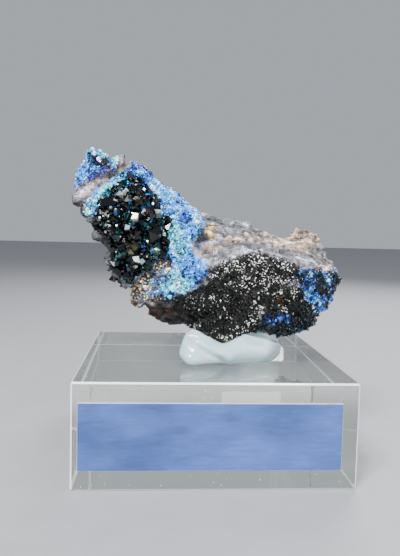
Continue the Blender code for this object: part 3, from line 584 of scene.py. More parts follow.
@functools.lru_cache(maxsize=1)
def rock_skin():
    """The whole rock with its crusts as one fine skin, roughened where it is bare.

    The relief is layered noise at three widths, less the size of a fourth, less pits where a
    fifth is high, less the cracks. Under crystals it is low lumps.
    """
    settings = bpy.context.scene.specimen
    parts = [grown_copy("rock_matrix", ROCK_GROWTH)]
    parts += [grown_copy(node, CRUST_GROWTH) for node in PATCHES]
    corners, triangles, normals = melted("skin", parts, settings.skin_cell / MM, ROCK_SMOOTHING)
    facing = smooth_step(-0.3, 0.1, -normals[:, 1])
    covered = np.max([patch_depth(node, corners) for node in PATCHES], axis=0)
    bare = smooth_step(0.4, -0.3, covered)
    broad = layered_noise(corners, 5.0, 2, 11)
    middle = layered_noise(corners, 1.9, 3, 15)
    ledges = np.abs(layered_noise(corners * (1, 1, 1.8), 3.2, 2, 21))
    fine = layered_noise(corners, 0.75, 2, 25)
    pits = smooth_step(0.3, 0.6, layered_noise(corners, 1.1, 2, 28))
    relief = 0.3 * broad + 0.6 * middle - 1.0 * ledges + 0.34 * fine - 0.6 * pits
    strip = np.min([line_distance(front_view(corners), line) for line in SMOOTH_STRIPS], axis=0)
    calm = 1 - 0.6 * np.exp(-(strip / 1.2) ** 2)
    lumps = 0.4 * (1 - bare) * layered_noise(corners, 1.7, 2, 35)
    relief = (relief - relief.mean()) * (0.15 + 0.85 * bare) * calm + lumps + 0.06
    relief = relief - crease_depth(corners, facing)
    corners = corners + normals * relief[:, None]
    mesh = mesh_from_arrays("skin", corners, triangles)
    corners, triangles, normals = mesh_arrays(mesh)
    bpy.data.meshes.remove(mesh)
    tree = BVHTree.FromPolygons(corners.tolist(), triangles.tolist())
    return SimpleNamespace(corners=corners, triangles=triangles, normals=normals, bare=bare,
                           relief=relief, tree=tree)


def spread_spots(keep, spacing, rng):
    """Places on the rock's skin, at most one in each cell of the spacing, and their normals.

    Points are dropped at random on the triangles by area, and each stays with the chance
    that keep gives at its place.
    """
    skin = rock_skin()
    a, b, c = (skin.corners[skin.triangles[:, index]] for index in range(3))
    area = np.linalg.norm(np.cross(b - a, c - a), axis=1) / 2
    chance = keep[skin.triangles].mean(1)
    area = area * (chance > 0.01)
    count = int(area.sum() / spacing ** 2 * 5)
    pick = rng.choice(len(area), count, p=area / area.sum())
    u, v = rng.random((2, count, 1))
    u, v = np.where(u + v > 1, 1 - u, u), np.where(u + v > 1, 1 - v, v)
    places = a[pick] + u * (b[pick] - a[pick]) + v * (c[pick] - a[pick])
    normals = unit(skin.normals[skin.triangles[pick]].mean(1))
    _, first = np.unique(np.floor(places / spacing), axis=0, return_index=True)
    first = first[rng.random(len(first)) < chance[pick][first]]
    return places[first], normals[first]


def leaning(normals, lean, rng):
    """Each normal tipped over at random by up to about the lean."""
    return unit(normals + rng.uniform(-lean, lean, normals.shape))


def crystals(places, axes, widths, lengths, sides, profile, rng, slant=0.0, wobble=0.2):
    """Crystals as a profile carried along an axis.

    Corner (height h, side j) of a crystal lies at its place, plus its axis times length times
    h, plus a ring's corner j times half the width times the profile's share. Each corner of
    a ring has its own small change of width, and the upper rings are sheared by the slant.
    The two ends of the profile are single points.
    """
    count = len(places)
    helper = np.where(np.abs(axes[:, :1]) < 0.7, (1.0, 0.0, 0.0), (0.0, 1.0, 0.0))
    side = unit(np.cross(axes, helper))
    ahead = np.cross(axes, side)
    turn = rng.uniform(0, 2 * math.pi, (count, 1))
    angle = turn + 2 * math.pi * np.arange(sides) / sides
    reach = (1 + rng.uniform(-wobble, wobble, (count, sides))) * widths[:, None] / 2
    ring = (np.cos(angle)[..., None] * side[:, None] + np.sin(angle)[..., None] * ahead[:, None])
    ring = ring * reach[..., None]
    tip = rng.uniform(0, 2 * math.pi, (count, 1))
    shear = slant * reach * np.cos(angle - tip)
    rings = []
    for height, share in profile[1:-1]:
        rise = lengths[:, None] * height + shear * share * (height > 0.2)
        rings.append(places[:, None] + axes[:, None] * rise[..., None] + ring * share)
    ends = [places + axes * (lengths * profile[end][0])[:, None] for end in (0, -1)]
    corners = np.concatenate([ends[0][:, None], ends[1][:, None]] + rings, axis=1)
    return corners.reshape(-1, 3), crystal_faces(count, sides, len(rings))


def crystal_faces(count, sides, rings):
    """Triangles of the crystals: a fan at each end and two triangles for each side of a ring."""
    here = np.arange(sides)
    following = (here + 1) % sides
    faces = [np.stack((0 * here, 2 + following, 2 + here), 1)]
    for ring in range(rings - 1):
        low, high = 2 + ring * sides, 2 + (ring + 1) * sides
        faces.append(np.stack((low + here, low + following, high + following), 1))
        faces.append(np.stack((low + here, high + following, high + here), 1))
    last = 2 + (rings - 1) * sides
    faces.append(np.stack((1 + 0 * here, last + here, last + following), 1))
    template = np.concatenate(faces)
    step = 2 + rings * sides
    return (template[None] + np.arange(count)[:, None, None] * step).reshape(-1, 3)


def area_weights(places, areas):
    """How strongly each area holds at each place: exp(-(distance / spread)^3)."""
    return np.stack([np.exp(-(line_distance(places, line) / spread) ** 3)
                     for _, line, spread in areas], axis=1)


def sorted_mix(name):
    """Shares and colours of a mix, from dark to light."""
    mix = sorted(MIXES[name], key=lambda entry: sum(entry[1]))
    shares = np.array([share for share, _ in mix], float)
    return shares / shares.sum(), pigment([colour for _, colour in mix])


def crystal_tints(node, places, rng):
    """A colour for each crystal, from the mix of the area that it lies in.

    The crystals of a mix are put in order by layered noise plus chance, and take the mix's
    colours from dark to light in that order. The stronger the noise, the more like colours
    gather in clusters.
    """
    gathering = MORE_GATHERING if node in GATHERED else GATHERING
    usual, areas = CRYSTAL_AREAS[node]
    spots = front_view(places) + rng.uniform(-0.35, 0.35, (len(places), 2))
    weights = area_weights(spots, areas) * rng.uniform(0.6, 1.4, (len(places), len(areas)))
    best = np.where(weights.max(1) > 0.4, weights.argmax(1), -1)
    tints = np.zeros((len(places), 3))
    names = [usual] + [name for name, _, _ in areas]
    for index, name in enumerate(names, start=-1):
        here = np.flatnonzero(best == index)
        shares, colours = sorted_mix(name)
        score = gathering * layered_noise(places[here], 1.9, 3, 91)
        score += rng.uniform(-0.42, 0.42, len(here))
        rank = (np.argsort(np.argsort(score)) + 0.5) / max(len(here), 1)
        pick = np.searchsorted(np.cumsum(shares), rank).clip(0, len(colours) - 1)
        tints[here] = colours[pick] * rng.uniform(0.75, 1.25, (len(here), 1))
    return np.clip(tints, 0, 1)


def rock_tints(points, normals):
    """The rock's colours: areas seen from the front, two of them painted shade, and mottled greys and
    tans elsewhere.
    """
    places = front_view(points)
    warp = np.stack((layered_noise(points, 2.4, 3, 41), layered_noise(points, 2.4, 3, 45)), 1)
    weights = area_weights(places + 0.9 * warp, ROCK_AREAS)
    facing = smooth_step(-0.45, -0.05, -normals[:, 1])
    weights = weights * facing[:, None]
    colours = pigment([colour for colour, _, _ in ROCK_AREAS])
    mottle = smooth_step(-0.35, 0.35, layered_noise(points, 3.6, 4, 51))[:, None]
    dark = smooth_step(0.25, 0.6, layered_noise(points, 1.6, 3, 55))[:, None]
    back = pigment(BACK_COLOURS[0]) * (1 - mottle) + pigment(BACK_COLOURS[1]) * mottle
    back = back * (1 - dark) + pigment(BACK_COLOURS[2]) * dark
    plain = pigment(ROCK_COLOUR) * facing[:, None] + back * (1 - facing[:, None])
    total = weights.sum(1, keepdims=True) + 0.25
    return (weights @ colours + 0.25 * plain) / total


def speckled_and_relief_shaded(tints, points, relief):
    """Tints times e to the power of fine layered noise, partly drawn out along the rock's
    length, darker in small specks, then times e to the power of the relief: painted shade in
    hollows and cracks, painted light on ridges."""
    fine = layered_noise(points, 0.8, 3, 81)
    drawn_out = layered_noise(points * (0.35, 1.0, 1.0), 0.9, 2, 84)
    specks = smooth_step(0.3, 0.6, layered_noise(points, 0.9, 2, 88))
    factor = np.exp(SPECKLE_STRENGTH * (fine + drawn_out)) * (1 - 0.8 * specks)
    tints = np.clip(tints * factor[:, None], 0, 1)
    painted_relief_shade = np.exp(PAINTED_RELIEF_SHADE_STRENGTH * np.clip(relief, -0.9, 0.3))
    return np.clip(tints * painted_relief_shade[:, None], 0, 1)


def join(parts):
    """Corners, triangles, colours and smoothness of several shapes as one."""
    offsets = np.cumsum([0] + [len(part.corners) for part in parts])
    return SimpleNamespace(
        corners=np.vstack([part.corners for part in parts]),
        triangles=np.vstack([part.triangles + offset for part, offset in zip(parts, offsets)]),
        tints=np.vstack([part.tints for part in parts]),
        smooth=np.concatenate([np.full(len(part.triangles), part.smooth) for part in parts]),
    )


def crystal_part(shape, tints, profile, sides, painted_shades=(0.6, 1.15)):
    """Crystals ready to join, each in its own colour, with painted shade towards its root and painted
    light towards its top.
    """
    corners, triangles = shape
    heights = [profile[0][0], profile[-1][0]]
    for height, _ in profile[1:-1]:
        heights += [height] * sides
    shade = np.interp(heights, (profile[0][0], profile[-1][0]), painted_shades)
    corner_tints = tints[:, None, :] * shade[None, :, None]
    return SimpleNamespace(corners=corners, triangles=triangles, smooth=False,
                           tints=np.clip(corner_tints.reshape(-1, 3), 0, 1))


def add_piece(name, part, material, slot, *nodes):
    """A finished piece: it rides on the root body and stands for the CAD nodes. A part with
    edges, true for some of its triangles, has a second material there."""
    mesh = mesh_from_arrays(name, part.corners, part.triangles)
    mesh.polygons.foreach_set("use_smooth", np.broadcast_to(part.smooth, len(part.triangles)))
    if part.tints is not None:
        tint = mesh.attributes.new("tint", "FLOAT_COLOR", "POINT")
        with_alpha = np.hstack((part.tints, np.ones((len(part.tints), 1))))
        tint.data.foreach_set("color", with_alpha.astype(np.float32).ravel())
    materials = material if isinstance(material, tuple) else (material,)
    for item in materials:
        mesh.materials.append(item)
    if len(materials) > 1:
        mesh.polygons.foreach_set("material_index", part.edges.astype(np.int32))
    piece = bpy.data.objects.new(name, mesh)
    bpy.context.scene.collection.objects.link(piece)
    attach(piece, "root")
    if nodes:
        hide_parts(*nodes)
    return piece


def plain_part(shape, smooth=False, edges=None):
    """A shape without colours of its own."""
    return SimpleNamespace(corners=shape[0], triangles=shape[1], tints=None, smooth=smooth,
                           edges=edges)


def facing_of(shape):
    """The outward direction of each triangle of a shape."""
    a, b, c = (shape[0][shape[1][:, index]] for index in range(3))
    return unit(np.cross(b - a, c - a))


class Recipe:
    """A material under construction: its nodes, its links and its shader."""

    def __init__(self, name):
        self.material = bpy.data.materials.new(name)
        self.material.use_nodes = True
        self.tree = self.material.node_tree
        self.shader = self.tree.nodes["Principled BSDF"]
        self.output = self.tree.nodes["Material Output"]
        self.place = self.node("ShaderNodeTexCoord").outputs["Object"]

    def node(self, kind, **values):
        """A new node with its settings."""
        made = self.tree.nodes.new(kind)
        for key, value in values.items():
            setattr(made, key, value)
        return made

    def link(self, source, target):
        """Join an output to an input."""
        self.tree.links.new(source, target)

    def set(self, **values):
        """Fixed values on the shader's own sockets, with spaces written as underscores."""
        for key, value in values.items():
            self.shader.inputs[key.replace("_", " ")].default_value = value

    def tint(self):
        """The colour that each corner of the mesh carries."""
        return self.node("ShaderNodeAttribute", attribute_name="tint").outputs["Color"]

    def noise(self, size, detail=4.0, stretch=(1, 1, 1), roughness=0.5):
        """Noise with features of about the size, in millimetres."""
        mapping = self.node("ShaderNodeMapping")
        mapping.inputs["Scale"].default_value = stretch
        self.link(self.place, mapping.inputs["Vector"])
        made = self.node("ShaderNodeTexNoise")
        made.inputs["Scale"].default_value = 1 / (size * MM)
        made.inputs["Detail"].default_value = detail
        made.inputs["Roughness"].default_value = roughness
        self.link(mapping.outputs["Vector"], made.inputs["Vector"])
        return made.outputs["Fac"]

    def ramp(self, source, low, high, to_low, to_high):
        """The source from low to high, carried to the range from to_low to to_high."""
        made = self.node("ShaderNodeMapRange")
        for socket, value in zip(("From Min", "From Max", "To Min", "To Max"),
                                 (low, high, to_low, to_high)):
            made.inputs[socket].default_value = value
        self.link(source, made.inputs["Value"])
        return made.outputs["Result"]

    def shade(self, colour, factor):
        """A colour times a factor."""
        made = self.node("ShaderNodeVectorMath", operation="SCALE")
        self.link(colour, made.inputs[0])
        self.link(factor, made.inputs["Scale"])
        return made.outputs["Vector"]

    def mix(self, factor, first, second):
        """Two fixed colours mixed by a factor."""
        made = self.node("ShaderNodeMix", data_type="RGBA")
        self.link(factor, made.inputs["Factor"])
        made.inputs[6].default_value = (*first, 1.0)
        made.inputs[7].default_value = (*second, 1.0)
        return made.outputs[2]

    def bump(self, height, depth, strength=1.0, under=None):
        """A bump of the given depth in millimetres, over another one where there is one."""
        made = self.node("ShaderNodeBump")
        made.inputs["Strength"].default_value = strength
        made.inputs["Distance"].default_value = depth * MM
        self.link(height, made.inputs["Height"])
        if under is not None:
            self.link(under, made.inputs["Normal"])
        return made.outputs["Normal"]

    def finish(self, **links):
        """Join outputs to the shader's sockets, and give back the material."""
        for key, source in links.items():
            self.link(source, self.shader.inputs[key.replace("_", " ")])
        return self.material


def rock_material():
    """Dull broken rock: fine grain, dark pores, and a few glints of mica."""
    recipe = Recipe("rock_matrix_stone")
    grain = recipe.noise(0.55, 5.0, roughness=0.7)
    pores = recipe.ramp(recipe.noise(1.0, 4.0, roughness=0.65), 0.54, 0.66, 1.0, 0.22)
    shaded = recipe.shade(recipe.tint(), recipe.ramp(grain, 0.3, 0.7, 0.35, 1.8))
    colour = recipe.shade(shaded, pores)
    glints = recipe.ramp(recipe.noise(0.22, 2.0), 0.62, 0.7, 0.85, 0.3)
    low = recipe.bump(recipe.noise(0.9, 4.0), 0.45, 0.8)
    fine = recipe.bump(pores, 0.15, 0.7, low)
    finest = recipe.bump(grain, 0.2, 0.8, fine)
    recipe.set(IOR=1.5)
    return recipe.finish(Base_Color=colour, Roughness=glints, Normal=finest)


def crystal_material(name, roughness, specular, grain_depth):
    """Small bright crystals in their own colours, with faint growth lines."""
    recipe = Recipe(name)
    cloud = recipe.noise(0.3, 3.0)
    colour = recipe.shade(recipe.tint(), recipe.ramp(cloud, 0.3, 0.7, 0.82, 1.18))
    rough = recipe.ramp(recipe.noise(0.5, 3.0), 0.35, 0.65, roughness * 0.6, roughness * 1.5)
    lines = recipe.noise(0.12, 2.0, stretch=(1, 1, 5))
    normal = recipe.bump(lines, grain_depth, 0.35)
    recipe.set(IOR=1.6, Specular_IOR_Level=specular)
    return recipe.finish(Base_Color=colour, Roughness=rough, Normal=normal)


def putty_material(colour):
    """Milky, slightly see-through putty with a soft shine."""
    recipe = Recipe("milky_putty")
    cloud = recipe.noise(2.5, 3.0)
    base = recipe.mix(recipe.ramp(cloud, 0.35, 0.8, 0.0, 1.0), colour, (0.84, 0.87, 0.88))
    rough = recipe.ramp(recipe.noise(1.2, 3.0), 0.3, 0.7, 0.08, 0.2)
    normal = recipe.bump(recipe.noise(1.6, 2.0), 0.06, 0.4)
    recipe.set(Subsurface_Weight=0.85, Subsurface_Radius=(1.0, 1.1, 1.3), Subsurface_Scale=0.0022,
               Transmission_Weight=0.3, IOR=1.45, Coat_Weight=1.0, Coat_Roughness=0.06)
    return recipe.finish(Base_Color=base, Roughness=rough, Normal=normal)


def acrylic_material():
    """Clear cast acrylic with a faint green-yellow depth and fine scratches."""
    recipe = Recipe("clear_acrylic")
    scratch = recipe.noise(0.25, 2.0, stretch=(1, 0.03, 1))
    rough = recipe.ramp(scratch, 0.66, 0.76, 0.0, 0.06)
    normal = recipe.bump(recipe.noise(14.0, 1.0), 0.02, 0.15)
    absorption = recipe.node("ShaderNodeVolumeAbsorption")
    absorption.inputs["Color"].default_value = (0.84, 0.96, 0.80, 1.0)
    absorption.inputs["Density"].default_value = 7.0
    recipe.link(absorption.outputs["Volume"], recipe.output.inputs["Volume"])
    recipe.set(Base_Color=(1.0, 1.0, 1.0, 1.0), Transmission_Weight=1.0, IOR=1.49)
    return recipe.finish(Roughness=rough, Normal=normal)


def acrylic_edge_material():
    """The block's broken edges: polished less than its faces, so that they catch light."""
    recipe = Recipe("acrylic_edge")
    rough = recipe.ramp(recipe.noise(0.6, 3.0), 0.3, 0.7, 0.25, 0.5)
    recipe.set(Base_Color=(1.0, 1.0, 1.0, 1.0), Transmission_Weight=0.2, IOR=1.49)
    return recipe.finish(Roughness=rough)


def plain_material(name, colour, roughness, grain, detail, darkest, lightest):
    """One colour, made darker and lighter by noise of the grain's size."""
    recipe = Recipe(name)
    shade = recipe.ramp(recipe.noise(grain, detail), 0.3, 0.7, darkest, lightest)
    base = recipe.node("ShaderNodeRGB")
    base.outputs[0].default_value = (*colour, 1.0)
    recipe.set(Roughness=roughness)
    return recipe.finish(Base_Color=recipe.shade(base.outputs[0], shade))


def dust_material():
    """Pale dust."""
    return plain_material("pale_dust", (0.95, 0.95, 0.93), 0.8, 2.0, 2.0, 0.7, 1.0)


def label_material(colour):
    """Satin label film, brushed lengthways."""
    recipe = Recipe("satin_label_film")
    brush = recipe.noise(0.5, 5.0, stretch=(0.12, 1, 1), roughness=0.65)
    cloud = recipe.noise(7.0, 4.0, stretch=(0.6, 1, 1))
    sheen = recipe.ramp(brush, 0.3, 0.7, 0.86, 1.14)
    lighter = np.clip(np.array(colour) * 1.7, 0, 1)
    plain = recipe.mix(recipe.ramp(cloud, 0.35, 0.65, 0.0, 1.0), colour, lighter)
    base = recipe.shade(plain, sheen)
    rough = recipe.ramp(brush, 0.3, 0.7, 0.3, 0.42)
    normal = recipe.bump(brush, 0.01, 0.3)
    recipe.set(Metallic=0.25, IOR=1.5, Anisotropic=0.4)
    return recipe.finish(Base_Color=base, Roughness=rough, Normal=normal)


def label_edge_highlight_material(colour):
    """The cut edge of the label film, painted paler than its face: a painted highlight along its thin
    border.
    """
    painted_edge_highlight = 0.45 + 0.5 * np.array(colour)
    return plain_material("label_film_edge_highlight", painted_edge_highlight, 0.4, 0.8, 3.0, 0.75, 1.0)


def floor_material(colour):
    """Matte pale paper."""
    return plain_material("pale_floor", colour, 0.7, 6.0, 3.0, 0.97, 1.03)


def grit_on_rock(rng):
    """Grains that stand on the bare rock, in its colours but paler, darker or rusty."""
    skin = rock_skin()
    places, normals = spread_spots(skin.bare * 0.6, 1.0, rng)
    tints = rock_tints(places, normals) * rng.choice((0.6, 0.9, 1.1, 1.3), (len(places), 1))
    rusty = share_of_rust(places) > rng.random(len(places))
    tints[rusty] = pigment(RUST_COLOUR) * rng.uniform(0.5, 1.2, (rusty.sum(), 1))
    widths = rng.uniform(0.2, 0.5, len(places))
    shape = crystals(places, leaning(normals, 1.0, rng), widths, widths * 0.7, 5, SPIKE, rng,
                     wobble=0.35)
    return crystal_part(shape, np.clip(tints, 0, 1), SPIKE, 5)


def share_of_rust(places):
    """Share of rusty grains: highest on the low bulge at the left."""
    distance = line_distance(front_view(places), [(-12.2, 29.8), (-6.4, 28.6)])
    return 0.35 * np.exp(-(distance / 2.4) ** 2)


def grow_patch(node, groups, seed):
    """Crystals of a patch, group by group. They thin out at its ragged edge and over the
    patches that it leaves room for."""
    rng = np.random.default_rng(seed)
    skin = rock_skin()
    keep = smooth_step(-0.55, 0.15, patch_depth(node, skin.corners))
    for other in PATCHES:
        if other != node:
            over = patch_depth(other, skin.corners) * (other in BEFORE[node])
            keep = keep * smooth_step(0.5, -0.1, over)
    parts = []
    for spacing, widths, tallness, lean, sides, profile, slant in groups:
        places, normals = spread_spots(keep, spacing, rng)
        count = len(places)
        width = rng.uniform(*widths, count) * rng.choice((0.75, 1.0, 1.0, 1.3), count)
        shape = crystals(places, leaning(normals, lean, rng), width, width * tallness, sides,
                         profile, rng, slant, 0.3)
        tints = crystal_tints(node, places, rng)
        if node == "lazulite_crystals":
            clear = np.clip((CLEAR_WIDTH / width) ** WIDTH_POWER, DARKEST_SHARE, 1.0)
            tints = tints * clear[:, None]
        parts.append(crystal_part(shape, tints, profile, sides, SMALL_PAINTED_SHADES))
    return parts


def spots_from_front(places):
    """Where lines of sight to the places (x, z) of the marking plane meet the rock's skin."""
    skin = rock_skin()
    eye = Vector(EYE)
    found = []
    for x, z in places:
        aim = Vector((x, MARKING_PLANE, z)) - eye
        spot, normal, _, _ = skin.tree.ray_cast(eye, aim.normalized())
        if spot is None:
            spot, normal, _, _ = skin.tree.find_nearest(eye + aim)
        found.append((spot, normal))
    return np.array([spot for spot, _ in found]), np.array([normal for _, normal in found])


def large_crystals(rng):
    """The large dark crystals, each at its own place, in groups by their number of sides."""
    table = np.array(LARGE_CRYSTALS)
    places, normals = spots_from_front(table[:, :2])
    places = places - normals * LARGE_SUNK
    parts = []
    for group, sides in enumerate((4, 5, 6)):
        here = np.arange(len(table)) % 3 == group
        width = table[here, 2] * 0.95
        profile = (WEDGE, STUB, WEDGE)[group]
        shape = crystals(places[here], leaning(normals[here], 0.6, rng), width,
                         0.6 + width * 0.5, sides, profile, rng, 0.35, 0.25)
        tints = crystal_tints("lazulite_crystals", places[here], rng) * LARGE_DARKNESS
        parts.append(crystal_part(shape, tints, profile, sides))
    return parts


def painted_glint_facets(node, rng):
    """Flat-topped crystals turned to the eye. With a share of 1 the axis of each halves the
    angle between the directions to the eye and to the key light. Their pale tops are painted
    highlights, and their roots painted shade."""
    facets = PAINTED_GLINT_FACETS[node]
    places, normals = spots_from_front([entry[0] for entry in facets])
    light = np.array(LIGHTS["key_softbox"][0], float)
    shares = np.array([entry[2] for entry in facets])[:, None]
    axes = unit(unit(EYE - places) + shares * unit(light - places))
    widths = np.array([entry[1] for entry in facets])
    tints = pigment([entry[3] for entry in facets])
    shape = crystals(places + normals * BRIGHT_RAISED, axes, widths, widths * 0.5 + 0.4, 4, PLATE,
                     rng, wobble=0.3)
    return crystal_part(shape, tints, PLATE, 4, GLINT_PAINTED_SHADES)


def putty_surface():
    """The putty: its CAD solid melted fine and smoothed, and pressed into folds.

    Each fold lifts or lowers the skin by its height times exp(-(distance / half width)^2),
    the distance being taken to a line in the front view.
    """
    solid = grown_copy("mounting_putty", PUTTY_GROWTH)
    corners, triangles, normals = melted("putty", [solid], PUTTY_CELL, PUTTY_SMOOTHING)
    places = front_view(corners)
    facing = smooth_step(-0.2, 0.3, -normals[:, 1])
    height = 0.12 * layered_noise(corners, 3.0, 2, 71)
    for line, half_width, lift in PUTTY_FOLDS:
        height += facing * lift * np.exp(-(line_distance(places, line) / half_width) ** 2)
    return corners + normals * height[:, None], triangles


def stacked_rings(rings):
    """A closed shape from rings of corners carried one after another, each the same number
    of corners anticlockwise about the way they are carried, with a point in each end."""
    ends = [rings[0].mean(0, keepdims=True), rings[-1].mean(0, keepdims=True)]
    return np.vstack(ends + list(rings)), crystal_faces(1, len(rings[0]), len(rings))


def label_plate(low, high, back, radius, edge):
    """A thin plate with rounded corners: four quarter circles carried from the back face to
    the front face, the front edge drawn in a little."""
    steps = 6
    quarter = np.linspace(0, math.pi / 2, steps)
    angles = np.concatenate([quarter + turn * math.pi / 2 for turn in range(4)])
    way = np.repeat([(1, 1), (-1, 1), (-1, -1), (1, -1)], steps, axis=0)
    centre = (low + high)[[0, 2]] / 2
    middle = way * ((high - low)[[0, 2]] / 2 - radius)
    rings = []
    for y, inset in ((back, 0.0), (low[1] + edge, 0.0), (low[1], edge)):
        around = centre + middle + (radius - inset) * np.stack((np.cos(angles), np.sin(angles)), 1)
        rings.append(np.stack((around[:, 0], np.full(len(angles), y), around[:, 1]), 1))
    return stacked_rings(rings)


def block_shape(low, high, edge):
    """A box with all its edges just broken: a square with cut corners carried upwards, drawn
    in by the width of the edge at the bottom and at the top."""
    rings = []
    for z, inset in ((low[2], edge), (low[2] + edge, 0.0), (high[2] - edge, 0.0), (high[2], edge)):
        x, y = high[:2] - inset
        ring = [(x, edge - y), (x, y - edge), (x - edge, y), (edge - x, y),
                (-x, y - edge), (-x, edge - y), (edge - x, -y), (x - edge, -y)]
        rings.append(np.array([(a, b, z) for a, b in ring]))
    return stacked_rings(rings)


def dust_on_block(low, high, rng):
    """Crumbs of dust on the top and the front of the block, away from the putty."""
    x = rng.uniform(low[0] + 1, high[0] - 1, DUST_ON_TOP)
    y = rng.uniform(low[1] + 1, high[1] - 1, DUST_ON_TOP)
    top = np.stack((x, y, np.full(DUST_ON_TOP, high[2])), 1)
    near_putty = (np.abs(x - 4) <= 13) & (y >= -17) & (y <= 5)
    top = top[~near_putty]
    across = rng.uniform(low[0] + 1, high[0] - 1, DUST_IN_FRONT)
    level = rng.uniform(15.9, high[2] - 0.8, DUST_IN_FRONT)
    level[::3] = rng.uniform(0.6, 3.2, len(level[::3]))
    front = np.stack((across, np.full(DUST_IN_FRONT, low[1] - 0.02), level), 1)
    places = np.vstack((top, front))
    widths = rng.uniform(*DUST_WIDTHS, len(places))
    axes = unit(rng.normal(size=places.shape))
    return crystals(places, axes, widths, widths, 4, SPIKE, rng)


def colour_property(name, description, colour):
    """A colour that a user may change, given as a screen colour from 0 to 255."""
    return bpy.props.FloatVectorProperty(name=name, description=description, subtype="COLOR",
                                         size=3, min=0.0, max=1.0, default=tuple(pigment(colour)))


class SpecimenSettings(bpy.types.PropertyGroup):
    """Sizes and colours of the specimen."""

    skin_cell: bpy.props.FloatProperty(
        name="Rock detail", description="Size of the cells of the rock's skin",
        default=0.3 * MM, min=0.2 * MM, max=1.0 * MM, unit="LENGTH")
    block_edge: bpy.props.FloatProperty(
        name="Block edge", description="Width of the block's broken edges",
        default=0.3 * MM, min=0.05 * MM, max=1.0 * MM, unit="LENGTH")
    putty_colour: colour_property("Putty", "Colour of the milky putty", (212, 222, 230))
    label_colour: colour_property("Label", "Colour of the satin label film", (104, 138, 190))
    floor_colour: colour_property("Floor", "Colour of the plain floor", (196, 196, 198))
    world_light: bpy.props.FloatProperty(
        name="Room light", description="Strength of the even light from all round",
        default=0.5, min=0.0, max=3.0)


class SPECIMEN_OT_rock(bpy.types.Operator):
    """Make the bare rock with its grains"""
    bl_idname = "specimen.rock"
    bl_label = "Rock"

    def execute(self, context):
        skin = rock_skin()
        rng = np.random.default_rng(3)
        tints = rock_tints(skin.corners, skin.normals)
        for node in PATCHES:
            inside = smooth_step(-0.4, 0.3, patch_depth(node, skin.corners))[:, None]
            # Under a patch the skin takes 0.6 of its crystals' colour: painted shade in the gaps
            # between them.
            tints = tints * (1 - inside) + 0.6 * under_tints(node, skin.corners) * inside
        tints = speckled_and_relief_shaded(tints, skin.corners, skin.relief)
        base = SimpleNamespace(corners=skin.corners, triangles=skin.triangles, tints=tints,
                               smooth=True)
        add_piece("rock", join([base, grit_on_rock(rng)]), rock_material(), "rock", "rock_matrix")
        return {"FINISHED"}


def under_tints(node, points):
    """The colour of the skin under a patch's crystals: each area's mix, without its lights."""
    usual, areas = CRYSTAL_AREAS[node]
    weights = area_weights(front_view(points), areas)
    means = np.array([mix_mean(name) for name, _, _ in areas])
    return (weights @ means + 0.3 * mix_mean(usual)) / (weights.sum(1, keepdims=True) + 0.3)


def mix_mean(name):
    """The mean colour of a mix without its two lightest colours."""
    shares, colours = sorted_mix(name)
    return shares[:-2] @ colours[:-2] / shares[:-2].sum()


class SPECIMEN_OT_lazulite(bpy.types.Operator):
    """Make the dark lazulite crystals on the wing"""
    bl_idname = "specimen.lazulite"
    bl_label = "Lazulite crystals"

    def execute(self, context):
        rng = np.random.default_rng(5)
        parts = large_crystals(rng) + [painted_glint_facets("lazulite_crystals", rng)]
        parts += grow_patch("lazulite_crystals", LAZULITE_GROUPS, 6)
        material = crystal_material("dark_lazulite", 0.08, 0.4, 0.02)
        add_piece("lazulite", join(parts), material, "dark_lazulite", "lazulite_crystals")
        return {"FINISHED"}


class SPECIMEN_OT_druse(bpy.types.Operator):
    """Make the patches of small crystals"""
    bl_idname = "specimen.druse"
    bl_label = "Druse"

    def execute(self, context):
        blue = crystal_material("blue_lazulite", 0.25, 0.35, 0.02)
        dark = crystal_material("dark_druse", 0.25, 0.25, 0.02)
        for seed, (node, groups) in enumerate(DRUSE_GROUPS.items(), start=20):
            is_dark = node == "dark_druse_face"
            parts = grow_patch(node, groups, seed)
            if node in PAINTED_GLINT_FACETS:
                parts.append(painted_glint_facets(node, np.random.default_rng(seed)))
            add_piece(node.replace("druse_", "crystals_"), join(parts), dark if is_dark else blue,
                      "dark_druse" if is_dark else "blue_lazulite", node)
        return {"FINISHED"}


class SPECIMEN_OT_putty(bpy.types.Operator):
    """Make the lump of putty"""
    bl_idname = "specimen.putty"
    bl_label = "Putty"

    def execute(self, context):
        material = putty_material(context.scene.specimen.putty_colour)
        add_piece("putty_lump", plain_part(putty_surface(), smooth=True), material, "putty",
                  "mounting_putty")
        return {"FINISHED"}


class SPECIMEN_OT_block(bpy.types.Operator):
    """Make the clear block and the dust on it"""
    bl_idname = "specimen.block"
    bl_label = "Display block"

    def execute(self, context):
        low, high = (np.array(corner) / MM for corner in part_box("display_block"))
        shape = block_shape(low, high, context.scene.specimen.block_edge / MM)
        edges = np.abs(facing_of(shape)).max(1) < 0.99
        materials = (acrylic_material(), acrylic_edge_material())
        add_piece("acrylic_block", plain_part(shape, edges=edges), materials, "clear_acrylic",
                  "display_block")
        dust = plain_part(dust_on_block(low, high, np.random.default_rng(9)))
        add_piece("block_dust", dust, dust_material(), "clear_acrylic")
        return {"FINISHED"}


class SPECIMEN_OT_label(bpy.types.Operator):
    """Make the bare label"""
    bl_idname = "specimen.label"
    bl_label = "Label"

    def execute(self, context):
        low, high = (np.array(corner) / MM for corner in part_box("label"))
        block_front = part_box("display_block")[0].y / MM
        shape = label_plate(low, high, block_front - LABEL_GAP, LABEL_CORNER, LABEL_EDGE)
        colour = context.scene.specimen.label_colour
        materials = (label_material(colour), label_edge_highlight_material(colour))
        part = plain_part(shape, edges=facing_of(shape)[:, 1] > -0.99)
        add_piece("label_film", part, materials, "label_tape", "label")
        return {"FINISHED"}


